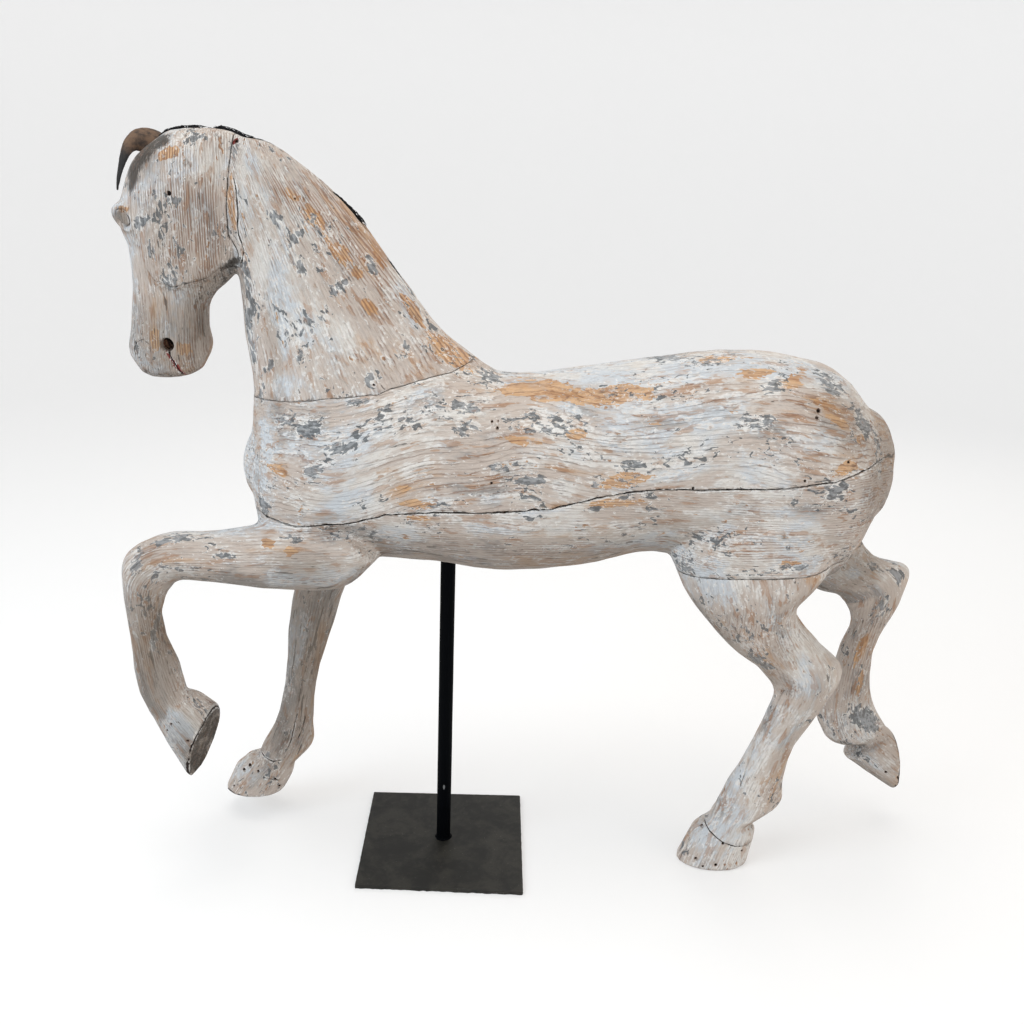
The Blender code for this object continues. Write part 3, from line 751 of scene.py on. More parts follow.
@dataclass(frozen=True)
class MillScale:
    """Dark hot-rolled steel with blotches, faint scratches and pale specks."""

    dark: Colour = (0.014, 0.0137, 0.0118)
    brown: Colour = (0.03, 0.0278, 0.0225)
    pale: Colour = (0.17, 0.16, 0.14)

    def material(self) -> bpy.types.Material:
        """Builds the finish."""
        tree = ShaderTree("plate_steel")
        place = tree.place()
        blotch = tree.noise(tree.stretched(place, (16, 16, 16)), 4, 0.6, 0.8)
        grime = tree.noise(tree.stretched(place, (90, 90, 90)), 4, 0.65)
        scratch = tree.noise(tree.stretched(place, (30, 900, 900)), 2, 0.5)
        speck = tree.noise(tree.stretched(place, (420, 420, 420)), 1, 0.5)
        colour = tree.blend(tree.step(blotch + (grime - 0.5) * 0.5, 0.36, 0.66), self.dark, self.brown)
        specked = tree.step(speck + (blotch - 0.5) * 0.2, 0.77, 0.80)
        scuffed = tree.step(scratch, 0.70, 0.80) * tree.step(grime, 0.45, 0.6)
        colour = tree.blend(specked * 0.8 + scuffed * 0.12, colour, self.pale)
        return tree.finish(
            grime * 0.00015 + scuffed * 0.00005, Base_Color=colour, Roughness=0.62 - blotch * 0.14,
            Metallic=0.25, Specular_IOR_Level=0.35,
        )


@dataclass(frozen=True)
class PaleBackdrop:
    """The studio's plain pale floor and wall, which glow a little."""

    colour: Colour = (0.62, 0.62, 0.62)
    glow: float = 0.38

    def material(self) -> bpy.types.Material:
        """Builds the finish."""
        material = ShaderTree("pale_backdrop").finish(
            Base_Color=self.colour, Roughness=0.9, Specular_IOR_Level=0.0,
            Emission_Color=(1.0, 1.0, 1.0), Emission_Strength=self.glow,
        )
        material.cycles.emission_sampling = "NONE"
        return material


# Open joints and carved lines, as (x, z) corners
BODY_CRACK = (
    (-306, 690), (-296, 685), (-247, 676), (-157, 686), (-96, 707), (-22, 716), (59, 718), (175, 730),
    (258, 753), (335, 766), (417, 768), (537, 776), (623, 790), (712, 818),
)
NECK_SEAM = (
    (-330, 874), (-314, 875), (-253, 879), (-197, 887), (-114, 896), (-93, 905), (-47, 918), (4, 929),
    (60, 955),
)
HEAD_SEAM = ((-343, 1290), (-349, 1220), (-352, 1162), (-352, 1134), (-340, 1110), (-334, 1082))
HEAD_SPLIT = ((-340, 1221), (-336, 1200), (-335, 1163), (-335, 1134), (-328, 1110), (-334, 1086))
HAUNCH_SEAM = ((391, 610), (491, 622), (613, 627), (668, 640))
COLLAR_SEAM = ((482, 99), (503, 77), (527, 61), (550, 53), (575, 49), (600, 52))
MOUTH = ((-461, 952), (-456, 934), (-449, 916), (-442, 900))
HEAD_GAP = ((-352, 1164), (-352, 1134), (-349, 1122))
NOSTRIL_FOLD = ((-514, 930), (-519, 944), (-512, 958), (-500, 962), (-490, 955), (-487, 940))
JAW_LINE = ((-484, 1076), (-470, 1056), (-445, 1048), (-412, 1056), (-386, 1066), (-362, 1082))
FAR_HEEL_GASH = ((-362, 94), (-346, 88), (-328, 81))
FAR_FETLOCK_LINE = ((-290, 232), (-297, 200), (-303, 172), (-312, 150))
FAR_FETLOCK_FOLD = ((-276, 226), (-281, 196), (-292, 170))
FAR_PASTERN_FOLD = ((-382, 140), (-362, 132), (-340, 122), (-318, 128))
HIND_TENDON_LINE = ((600, 395), (590, 340), (570, 280), (557, 220), (548, 170))

# Each line, the sides that it is on, its width and depth, the y that its surface lies near to, how much it
# wavers and how dark it is
BOTH = (Side.NEAR, Side.FAR)
GROOVES = (
    (BODY_CRACK, BOTH, 2.9, 5.0, 140, 1.2, 1.0),
    (NECK_SEAM, BOTH, 1.4, 1.6, 95, 1.0, 0.6),
    (HEAD_SEAM, BOTH, 1.7, 3.0, 45, 0.7, 0.65),
    (HEAD_GAP, BOTH, 3.6, 5.0, 45, 0.7, 1.0),
    (HEAD_SPLIT, (Side.NEAR,), 2.5, 4.0, 45, 1.2, 1.0),
    (HAUNCH_SEAM, BOTH, 1.6, 1.8, 130, 1.0, 0.6),
    (COLLAR_SEAM, (Side.NEAR,), 2.6, 2.8, 75, 0.6, 0.85),
    (MOUTH, BOTH, 3.4, 4.5, 42, 0.5, 0.9),
    (NOSTRIL_FOLD, BOTH, 2.2, 2.2, 36, 0.6, 0.3),
    (JAW_LINE, BOTH, 2.4, 2.4, 60, 1.4, 0.45),
    (FAR_HEEL_GASH, (Side.FAR,), 3.4, 4.0, 90, 0.8, 1.0),
    (FAR_FETLOCK_LINE, (Side.FAR,), 2.2, 2.2, 90, 0.6, 0.7),
    (FAR_FETLOCK_FOLD, (Side.FAR,), 2.2, 2.2, 90, 0.6, 0.6),
    (FAR_PASTERN_FOLD, (Side.FAR,), 2.4, 2.2, 90, 1.0, 0.8),
    (HIND_TENDON_LINE, (Side.NEAR,), 2.2, 2.0, 70, 0.8, 0.4),
)

# Middle lines of the limbs, from the body to the sole, as (x, y, z)
NEAR_FORE = (
    (-154, -82, 638), (-293, -100, 614), (-407, -104, 612), (-470, -104, 605), (-505, -104, 575),
    (-510, -104, 531), (-506, -104, 465), (-494, -102, 396), (-480, -100, 334), (-457, -100, 310),
    (-421, -100, 261),
)
FAR_FORE = (
    (-191, 80, 640), (-218, 88, 563), (-250, 94, 468), (-263, 96, 405), (-277, 96, 338), (-292, 96, 258),
    (-305, 96, 190), (-335, 96, 119), (-385, 97, 47),
)
NEAR_HIND = (
    (500, -84, 700), (536, -86, 583), (560, -84, 500), (602, -79, 454), (640, -73, 402), (629, -67, 332),
    (595, -56, 238), (580, -46, 172), (570, -40, 120), (545, -37, 81), (515, -35, -8),
)
FAR_HIND = (
    (650, 78, 655), (701, 86, 580), (760, 92, 545), (806, 95, 520), (810, 95, 480), (792, 95, 390),
    (786, 95, 300), (790, 95, 250), (812, 95, 208), (866, 95, 162), (898, 95, 138),
)

# Free soles: the toe and the heel (x, z), the middle y, the half width, and the turn to the near side
SOLES = (
    ((-441, 193), (-402, 330), -100, 52, 0.2),
    ((-444, 47), (-326, 47), 97, 47, 0.0),
    ((904, 82), (893, 194), 95, 47, 0.0),
)
TURN_REACH = 80.0               # how far behind its sole a turned hoof still gives way

EYE = (-513, 1153)
EYE_LENGTH = 14.0               # from its middle to a corner
EYE_WIDTH = 9.0                 # from its middle to a lid
EYE_SLANT = -60.0
EYE_BAND = (30, 80)             # the y that it lies between
NOSTRIL = ((-512, 936), (-506, 946), (-498, 944))
BIT_HOLE = (-461, 955)
BIT_HOLE_RADIUS = 10.5
BIT_HOLE_FLARE = 3.0
BIT_HOLE_BAND = (18, 60)        # the y that it lies between

# Patches of wear, dirt and painted shade on the near side: middle (x, z), half length, half width, angle from
# +x towards +z, and strength where it isn't 1. The far side has the same ones, moved along.
BARE = (
    (-435, 1250, 20, 8, 27), (-510, 1165, 10, 7, 0), (-343, 1170, 50, 6, -88), (-250, 1195, 13, 7, -38),
    (-215, 1160, 25, 12, -43), (-180, 1115, 25, 12, -48), (-150, 1080, 9, 7, -43),
    (-120, 1105, 30, 6, -58), (-65, 1025, 27, 8, -55), (-270, 770, 20, 10, -8), (-75, 750, 19, 10, 22),
    (-130, 1030, 16, 8, -48), (0, 960, 42, 17, -33), (150, 905, 70, 13, 3), (260, 905, 60, 14, 7),
    (130, 835, 32, 8, 0), (205, 848, 17, 9, 10), (285, 780, 40, 14, 10), (270, 742, 46, 9, 10),
    (-50, 728, 26, 10, 2), (-45, 705, 24, 6, 2), (435, 960, 29, 5, 5), (490, 945, 37, 7, 10),
    (560, 940, 28, 10, 32), (635, 812, 20, 10, 27), (665, 855, 12, 8, 0), (-290, 655, 16, 7, -43),
    (-250, 640, 12, 10, 0), (-440, 950, 11, 14, 60, 0.9), (-480, 962, 8, 20, 0, 0.9),
    (625, 880, 26, 7, -35), (600, 905, 30, 6, -20), (330, 870, 14, 5, 0), (560, 650, 20, 5, 5),
)
BARE_FAR_LEGS = ((790, 400, 35, 8, 77), (800, 330, 30, 6, 85))
SLATE = (
    (-390, 1275, 17, 7, 0), (-340, 1260, 15, 7, 82), (-425, 1180, 13, 8, -28), (-485, 1145, 12, 9, -88),
    (-470, 1105, 17, 7, -88), (-450, 1055, 27, 14, -8), (-350, 1085, 14, 8, 32), (-275, 1160, 18, 8, -60),
    (-245, 1130, 23, 7, 62), (-240, 1085, 26, 8, -63), (-180, 1055, 20, 8, 47), (-195, 1020, 20, 8, 60),
    (-130, 1095, 23, 7, -58), (-325, 1050, 47, 7, -81), (-325, 975, 68, 7, -80), (-290, 930, 23, 7, 37),
    (-305, 885, 19, 7, 82), (-265, 850, 22, 13, 32), (-225, 840, 28, 13, 22), (-170, 815, 29, 8, 14),
    (-210, 780, 23, 10, 22), (-135, 885, 29, 6, 7), (-120, 920, 15, 13, 0), (-75, 960, 16, 13, 62),
    (-100, 870, 13, 6, 52), (65, 920, 20, 7, -18), (30, 880, 19, 8, -8), (30, 850, 22, 13, 0),
    (165, 862, 78, 17, 4), (10, 800, 22, 5, 10), (80, 795, 22, 8, 7), (135, 775, 32, 5, 7),
    (290, 805, 22, 6, 7), (240, 775, 18, 6, -88), (240, 730, 19, 6, 7), (410, 960, 68, 7, 6),
    (510, 925, 22, 10, 10), (480, 880, 39, 13, 7), (620, 930, 27, 12, -28), (670, 875, 31, 10, -58),
    (700, 825, 38, 9, -83), (625, 775, 20, 13, 22), (545, 640, 50, 7, 7), (555, 680, 13, 7, -8),
    (405, 620, 24, 8, -38), (-455, 645, 35, 7, 12), (-255, 660, 27, 8, -8), (-355, 630, 17, 5, -3),
    (-505, 615, 21, 12, 62), (-490, 470, 36, 4, 82), (555, 445, 29, 11, -38), (-300, 700, 30, 9, -75),
)
SLATE_FAR_LEGS = (
    (785, 570, 31, 8, -28), (835, 550, 20, 12, -58), (810, 480, 32, 18, 62), (825, 245, 38, 19, -33),
    (-360, 130, 19, 8, 42),
)
CHALK = (
    (-470, 1205, 25, 9, 59), (-390, 1245, 37, 20, 0), (-510, 1070, 80, 13, -90),
    (-285, 1235, 27, 10, -38), (-338, 1108, 24, 7, -82), (-275, 905, 30, 20, 0), (190, 765, 32, 14, 7),
    (85, 745, 88, 8, 4), (385, 860, 45, 42, 0), (-255, 1005, 45, 36, -88), (-175, 995, 44, 32, 0),
    (-10, 870, 32, 13, 0), (260, 862, 40, 13, 7), (-45, 910, 34, 13, 12), (500, 772, 84, 14, 7),
    (445, 718, 60, 24, 0), (70, 830, 29, 8, 0), (475, 612, 67, 17, 0), (-305, 1110, 52, 11, -86),
    (-445, 592, 66, 12, 0), (-200, 728, 60, 16, 0), (-440, 315, 37, 18, -48), (505, 70, 40, 24, 22),
    (-290, 800, 50, 16, -80), (350, 800, 60, 16, 5), (580, 860, 46, 20, -20), (560, 720, 60, 20, 0),
    (-250, 1030, 120, 62, -72, 0.6), (-290, 1150, 60, 34, -60, 0.5), (600, 740, 110, 90, 0, 0.35),
    (340, 700, 90, 60, 0, 0.4), (590, 320, 150, 36, 74, 0.75), (190, 945, 230, 34, 5, 0.9),
    (110, 850, 210, 65, 3, 0.7), (-345, 1000, 80, 26, -82), (520, 590, 90, 40, -30, 0.5),
)
CHALK_FAR_LEGS = ((-395, 85, 32, 17, 22),)
RIDGED = (
    (-400, 1160, 75, 42, -88, 0.75), (-380, 1255, 50, 18, 0, 0.6), (505, 690, 80, 34, 4, 0.8),
    (-165, 1130, 110, 22, -48), (-230, 1170, 90, 16, -48), (-55, 800, 70, 30, 18, 0.8),
    (150, 815, 110, 26, 4, 0.7), (400, 925, 100, 24, 7), (-495, 500, 76, 18, 82),
    (120, 900, 150, 22, 2, 0.6), (180, 620, 170, 36, 3, 0.8), (-240, 800, 60, 40, 10, 0.7),
    (560, 520, 60, 40, -60, 0.8), (600, 300, 110, 30, 80, 0.2), (650, 760, 60, 60, 0, 0.5),
    (610, 865, 90, 50, -32), (250, 850, 120, 40, 5, 0.7), (60, 770, 90, 30, 6, 0.7),
)
RIDGED_FAR_LEGS = ((-245, 385, 97, 24, 87), (800, 380, 90, 30, 85))
# The ear's painted shadow on the forehead, and a dark smudge at the lower end of the head joint
SOOT_AND_EAR_SHADOW = (
    (-482, 1238, 52, 13, 57), (-492, 1212, 20, 8, 62), (-468, 1252, 24, 12, 52), (-452, 1268, 20, 10, 32),
    (-352, 1088, 14, 7, 30, 0.9),
)
# Dirt and painted shade: darker muzzle, cheek, throat, belly, inner and lower legs, and the far legs
DIRT_AND_SHADE = (
    (-460, 960, 62, 60, 0, 0.62), (-395, 1010, 75, 44, 60, 0.85), (-405, 1140, 78, 72, 90, 0.24),
    (-495, 440, 150, 40, 88, 0.95), (-425, 260, 80, 40, -60, 0.75), (-230, 600, 60, 40, 0, 0.7),
    (-380, 585, 130, 20, 0, 0.6), (180, 590, 220, 30, 0, 0.85), (560, 450, 40, 60, 0, 0.4),
    (715, 800, 110, 36, 85, 0.6), (640, 300, 150, 30, 78, 0.3), (-280, 960, 90, 12, -85, 0.3),
    (640, 875, 70, 40, -40, 0.45),
)
DIRT_AND_SHADE_FAR_LEGS = (
    (-255, 420, 240, 60, 85, 1.0), (-310, 200, 90, 50, 70, 0.8), (-380, 80, 60, 40, 0, 0.2),
    (740, 560, 70, 50, 30, 0.8), (800, 380, 160, 50, 88, 0.35), (870, 180, 70, 50, -45, 0.3),
)
OLD_RED = ((-451, 922, 26, 3.0, -62), (-341, 1272, 6, 2.2, 60), (-333, 1262, 5, 1.8, 60))
# Nail holes and small knots: middle (x, z) and radius
PITS = (
    (71, 861, 2.5), (81, 862, 2.0), (80, 852, 3.0), (73, 769, 2.5), (-119, 911, 2.3), (-434, 1192, 3.8),
    (590, 897, 3.8), (586, 887, 3.2), (490, 78, 3.4), (527, 59, 3.2), (566, 40, 2.4), (481, 19, 3.4),
    (494, 8, 2.4), (517, 14, 3.2), (-466, 317, 2.2), (-474, 304, 1.8), (-437, 289, 2.8),
    (-247, 1190, 2.0), (-339, 1272, 2.9), (640, 821, 2.8), (395, 771, 2.4), (570, 791, 2.4),
)
PITS_FAR_LEGS = (
    (-387, 110, 3.4), (-399, 100, 3.2), (-369, 103, 3.0), (-337, 86, 3.2), (-331, 66, 3.6),
    (870, 140, 3.0), (894, 131, 2.8), (-420, 64, 2.4),
)
FAR_SIDE_SHIFT = (34, -6)


@dataclass(frozen=True)
class Timber:
    """How one glued block was cut from its log."""

    heart: tuple[float, float]      # across the grain and in y
    pitch: float                    # of the growth rings
    sway: float                     # how far they wander
    showing: float                  # how hard their edges stand out
    ridge: float                    # how wide those edges are, as a share of the pitch

    def rings(self, grain: Array) -> Array:
        """The growth rings at each place.

        Args:
            grain: Places along and across the grain, and their y.

        Returns:
            A row for each place: the rings from the heart, how they show and how wide their edges are.
        """
        wander = self.sway * Grit(71).layered(grain / (190.0, 75.0, 75.0), 2)
        count = (np.hypot(grain[:, 1] - self.heart[0], grain[:, 2] - self.heart[1]) + wander) / self.pitch
        return np.stack([count, np.full(len(grain), self.showing), np.full(len(grain), self.ridge)], 1)


HEAD_TIMBER = Timber((320, 10), 3.9, 1.6, 1.0, 0.55)
NECK_TIMBER = Timber((-700, 20), 4.8, 2.4, 0.95, 0.5)
UPPER_TIMBER = Timber((-2000, 10), 10.0, 17.0, 1.0, 0.24)
LOWER_TIMBER = Timber((-2000, 0), 4.4, 8.0, 0.8, 0.42)
LIMB_TIMBER = Timber((430, 40), 4.6, 2.6, 0.55, 0.4)


@dataclass
class CarvedHorse:
    """The horse's wood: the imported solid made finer, with its joints, eyes, soles and tool marks carved."""

    node: str = "horse"
    voxel: float = 0.0024
    quick_voxel: float = 0.004
    facet_passes: int = 26
    triangles: int = 186_000
    fine_band: float = 7.0
    tool_mark: float = 0.55
    unevenness: float = 1.0

    def build(self) -> bpy.types.Object:
        """Makes the carved horse and dresses it."""
        obj = copy_of_node(self.node, "carved_horse")
        applied(obj, "REMESH", mode="VOXEL", voxel_size=self.voxel)
        skin = Skin(obj)
        skin.lose_facets(self.facet_passes)
        self.split_near_lines(obj)
        skin = Skin(obj)
        self.carve(skin)
        count = sum(len(face.vertices) - 2 for face in obj.data.polygons)
        applied(obj, "DECIMATE", ratio=min(1.0, self.triangles / count))
        obj.data.shade_smooth()
        self.keep_values(obj)
        dressed(obj, self.node, LimedWood().material())
        return obj

    def keep_values(self, obj: bpy.types.Object) -> None:
        """Keeps on the vertices what the finish reads."""
        skin = Skin(obj)
        grain, rings = self.grain(skin.points)
        skin.store("grain", "FLOAT_VECTOR", grain * MM)
        skin.store("rings", "FLOAT_VECTOR", rings)
        skin.store("paint", "FLOAT_COLOR", self.paint(skin))
        # The wear colour holds painted shade too: the ear's shadow, the bit hole's shade and shade on
        # undersides
        skin.store("wear", "FLOAT_COLOR", self.wear(skin))
        skin.store("seam", "FLOAT_VECTOR", self.seams(skin))

    def near_lines(self, skin: Skin) -> Array:
        """Which points lie where the carving needs a finer mesh.

        Args:
            skin: The horse's skin.

        Returns:
            True for each of them.
        """
        fine = self.pits(skin, 1.9) > 0
        flat = skin.points[:, [0, 2]]
        for line, sides, _, _, surface_y, *_ in GROOVES:
            near = from_line(flat, np.array(line, float))[0] < self.fine_band
            for side in sides:
                fine |= near & (side.value * skin.points[:, 1] > surface_y * 0.35)
        hole = np.hypot(*(flat - BIT_HOLE).T) < BIT_HOLE_RADIUS + self.fine_band
        return fine | hole | (np.abs(self.inside_eye(skin.points)) < self.fine_band)

    def split_near_lines(self, obj: bpy.types.Object) -> None:
        """Halves the mesh's edges where the finest carving goes.

        Args:
            obj: The horse, whose mesh is changed.
        """
        skin = Skin(obj)
        fine = self.near_lines(skin)
        wanted = np.flatnonzero(fine[skin.edges].all(axis=1))
        mesh = bmesh.new()
        mesh.from_mesh(obj.data)
        mesh.edges.ensure_lookup_table()
        edges = [mesh.edges[i] for i in wanted]
        bmesh.ops.subdivide_edges(mesh, edges=edges, cuts=1, use_grid_fill=True)
        bmesh.ops.triangulate(mesh, faces=[face for face in mesh.faces if len(face.verts) > 4])
        mesh.to_mesh(obj.data)
        mesh.free()
        obj.data.update()

    def carve(self, skin: Skin) -> None:
        """Moves the skin in and out along its normals.

        Args:
            skin: The horse's skin.
        """
        skin.points += self.turned_soles(skin.points)
        skin.write()
        raised = self.tool_marks(skin.points)
        raised -= self.grooves(skin)[0]
        raised += self.eyes(skin.points)
        raised -= self.nostrils(skin.points)
        raised -= self.soles(skin)[0]
        raised -= self.bit_holes(skin.points)
        raised -= self.pits(skin) * 1.3
        skin.points += skin.normals * raised[:, None]
        skin.write()

    def tool_marks(self, points: Array) -> Array:
        """Shallow gouge strokes along the grain over a slight unevenness of the whole form.

        Args:
            points: Rows of x, y and z in millimetres.

        Returns:
            How far each point stands out.
        """
        grain = self.grain(points)[0]
        strokes = Grit(3).layered(grain / (58.0, 15.0, 15.0), 2)
        calm = eased(0.9 + Grit(5).at(points / 110.0))
        uneven = self.unevenness * Grit(8).layered(points / 55.0, 2)
        return self.tool_mark * strokes * (0.35 + 0.65 * calm) + uneven

    def grooves(self, skin: Skin) -> tuple[Array, Array]:
        """The open joints and carved lines.

        Args:
            skin: The horse's skin.

        Returns:
            Their depth, and for the finish the distance to the nearest one's left, how near it is and how
            wide it is.
        """
        points, depth = skin.points, np.zeros(len(skin.points))
        seam, nearest = np.zeros((len(points), 3)), np.full(len(points), np.inf)
        waver = np.stack([Grit(11).layered(points / 14.0, 2), Grit(12).layered(points / 14.0, 2)], 1)
        ragged = Grit(13).layered(points / 9.0, 3)
        for line, sides, width, deep, surface_y, wander, darkness in GROOVES:
            line = np.array(line, float)
            length = np.linalg.norm(np.diff(line, axis=0), axis=1).sum()
            flat = points[:, [0, 2]] + wander * waver
            away, along, number = from_line(flat, line)
            runs = np.diff(line, axis=0)[number]
            off = flat - line[number]
            left = np.sign(runs[:, 0] * off[:, 1] - runs[:, 1] * off[:, 0])
            ends = eased(np.minimum(along, length - along) / 12.0 + 0.25)
            open_width = width / 2 * (0.85 + 0.5 * ragged) * ends
            profile = np.clip(1 - away / np.maximum(open_width, 0.3), 0, 1)
            for side in sides:
                here = side.value * points[:, 1] > surface_y * 0.45
                depth = np.maximum(depth, np.where(here, deep * eased(profile * 1.4) * ends, 0))
                here &= away < nearest
                nearest[here] = away[here]
                near = eased(2.2 - away / 5.0)
                found = np.stack([left * away, darkness * ends * near, open_width * 0.62], 1)
                seam[here] = found[here]
        return depth, seam

    @staticmethod
    def inside_eye(points: Array) -> Array:
        """How far points lie inside the eye's outline.

        Args:
            points: Rows of x, y and z in millimetres.

        Returns:
            A depth for each point, negative outside the outline and off the sides of the head.
        """
        slant = math.radians(EYE_SLANT)
        off_x, off_z = points[:, 0] - EYE[0], points[:, 2] - EYE[1]
        along = (off_x * math.cos(slant) + off_z * math.sin(slant)) / EYE_LENGTH
        across = (off_z * math.cos(slant) - off_x * math.sin(slant)) / EYE_WIDTH
        on_side = (np.abs(points[:, 1]) > EYE_BAND[0]) & (np.abs(points[:, 1]) < EYE_BAND[1])
        return np.where(on_side, (1 - np.hypot(along, across)) * EYE_WIDTH, FAR_OUTSIDE)

    def eyes(self, points: Array) -> Array:
        """A domed ball in a scored outline, with a raised lid round it.

        Args:
            points: Rows of x, y and z in millimetres.

        Returns:
            How far each point stands out.
        """
        inside = self.inside_eye(points)
        dome = 2.6 * eased((inside + 1) / 8.0)
        outline = 2.6 * np.exp(-((inside + 0.5) / 1.5) ** 2)
        lid = 2.4 * np.exp(-((inside + 4.5) / 2.6) ** 2)
        return dome - outline + lid

    @staticmethod
    def nostrils(points: Array) -> Array:
        """A shallow comma on each side of the nose."""
        away, _, _ = from_line(points[:, [0, 2]], np.array(NOSTRIL, float))
        return 2.8 * np.exp(-(away / 3.8) ** 2) * eased((np.abs(points[:, 1]) - 18) / 10.0)

    @staticmethod
    def bit_holes(points: Array) -> Array:
        """The worn flare round the hole at each corner of the mouth."""
        away = np.hypot(points[:, 0] - BIT_HOLE[0], points[:, 2] - BIT_HOLE[1])
        outside = np.abs(points[:, 1]) > BIT_HOLE_BAND[0]
        return BIT_HOLE_FLARE * eased((BIT_HOLE_RADIUS + 2 - away) / 4.0) * outside

    @staticmethod
    def soles(skin: Skin) -> tuple[Array, Array, Array]:
        """The free hooves' undersides, hollowed inside a rim, with a frog.

        Args:
            skin: The horse's skin.

        Returns:
            Their depth, how far each point belongs to one, and how far it lies inside its edge.
        """
        depth, share = np.zeros(len(skin.points)), np.zeros(len(skin.points))
        edge = np.full(len(skin.points), FAR_OUTSIDE)
        for toe, heel, middle_y, half_width, turn in SOLES:
            toe, heel = np.array(toe, float), np.array(heel, float)
            length = np.linalg.norm(heel - toe)
            run = (heel - toe) / length
            out = np.array([run[1], -run[0]])
            flat, sideways = skin.points[:, [0, 2]] - (toe + heel) / 2, skin.points[:, 1] - middle_y
            close = eased(1.8 - np.abs(flat @ out - turn * sideways) / 5.0)
            facing = eased(skin.normals[:, [0, 2]] @ out * 2.2 - 0.9)
            along, across = flat @ run / (length / 2), sideways / half_width
            within = 1 - np.hypot(along, across)
            here = close * (within > -0.35)
            frog_width = 0.10 + 0.16 * np.clip(along + 0.2, 0, 1)
            frog = np.exp(-(across / frog_width) ** 2) * eased((along + 0.15) * 3)
            hollow = 3.2 * eased((within - 0.12) / 0.09) - 2.4 * frog * eased(within / 0.15)
            depth += close * facing * hollow
            share = np.maximum(share, here * facing)
            edge = np.where(here > 0.3, within * half_width, edge)
        return depth, share, edge

    @staticmethod
    def turned_soles(points: Array) -> Array:
        """What turning a free hoof's underside to one side does.

        Args:
            points: Rows of x, y and z in millimetres.

        Returns:
            Each point's move, in millimetres.
        """
        shift = np.zeros(points.shape)
        for toe, heel, middle_y, half_width, turn in SOLES:
            toe, heel = np.array(toe, float), np.array(heel, float)
            run = (heel - toe) / np.linalg.norm(heel - toe)
            out = np.array([run[1], 0.0, -run[0]])
            off = points[:, [0, 2]] - (toe + heel) / 2
            behind, aside = -(off @ out[[0, 2]]), points[:, 1] - middle_y
            near = (np.hypot(*off.T) < TURN_REACH * 1.6) & (np.abs(aside) < half_width * 1.5)
            share = near * eased(1 - behind / TURN_REACH)
            shift += turn * (share * aside)[:, None] * out
        return shift

    @staticmethod
    def pits(skin: Skin, reach: float = 1.0) -> Array:
        """The nail holes and small knots.

        Args:
            skin: The horse's skin.
            reach: How far out they count, times their radius.

        Returns:
            The depth at each point.
        """
        depth = np.zeros(len(skin.points))
        faces_near = skin.normals[:, 1] < -0.25
        on_far_half = skin.points[:, 1] > 20
        for rows, here in ((PITS, faces_near & ~on_far_half), (PITS_FAR_LEGS, faces_near & on_far_half)):
            for x, z, radius in rows:
                away = np.hypot(skin.points[:, 0] - x, skin.points[:, 2] - z) / (radius * reach)
                depth = np.maximum(depth, np.where(here, radius * eased(1.5 - 1.25 * away), 0))
        return depth

    def grain(self, points: Array) -> tuple[Array, Array]:
        """Where each point lies in its block of timber.

        Args:
            points: The points.

        Returns:
            Places along and across the grain in millimetres, and the count of growth rings with how they
            show.
        """
        x, y, z = points.T
        lift = 52 * eased((x + 210) / 210) + 10 * np.sin(x / 62.0) * eased((x - 40) / 90)
        grain = np.stack([x, z - lift, y], 1)
        rings = np.zeros((len(points), 3))
        upper = z > np.interp(x, *np.array(BODY_CRACK, float).T)
        rings[upper] = UPPER_TIMBER.rings(grain[upper])
        grain[~upper] = np.stack([x, z, y], 1)[~upper] + (310, 0, 40)
        rings[~upper] = LOWER_TIMBER.rings(grain[~upper])

        neck = (z > np.interp(x, *np.array(NECK_SEAM, float).T)) & (x < 60)
        fan_x, fan_z = x + 420, z - 1480
        fan = np.stack([np.hypot(fan_x, fan_z), 450 * np.arctan2(fan_x, -fan_z), y + 130], 1)
        grain = np.where(neck[:, None], fan, grain)
        rings[neck] = NECK_TIMBER.rings(grain[neck])
        seam = np.array(HEAD_SEAM[::-1], float)
        head = (z > 890) & (x < np.where(z < 1082, -368, np.interp(z, seam[:, 1], seam[:, 0])))
        grain = np.where(head[:, None], np.stack([z, x, y], 1), grain)
        rings[head] = HEAD_TIMBER.rings(grain[head])

        haunch = np.interp(x, *np.array(HAUNCH_SEAM, float).T)
        limbs = (
            (NEAR_FORE, (y < -50) & (x < -250) & ~upper & (z < 690) & ~head, 156, 250),
            (FAR_FORE, (y > 30) & (z < 598) & (x < -100) & ~head, 0, 0),
            (NEAR_HIND, (y < 0) & (x > 370) & (z < haunch), 0, 0),
            (FAR_HIND, (y > 0) & (x > 520) & (z < 612), 0, 0),
        )
        for number, (line, here, shift, band) in enumerate(limbs):
            line = rounded(np.array(line, float))
            own = points[here]
            _, along, run_number = from_line(own, line)
            starts, runs = line[run_number], (line[1:] - line[:-1])[run_number]
            runs = runs / np.linalg.norm(runs, axis=1)[:, None]
            off = own - starts
            across = off[:, 2] * runs[:, 0] - off[:, 0] * runs[:, 2]
            limb = np.stack([-along - 1000 * number, -across, own[:, 1]], 1) + (shift, 620, 40)
            joined = eased((-band - own[:, 0]) / 90)[:, None] if band else 1.0
            grain[here] += joined * (limb - grain[here])
            rings[here] = LOWER_TIMBER.rings(grain[here]) if band else LIMB_TIMBER.rings(limb)
        return grain, rings

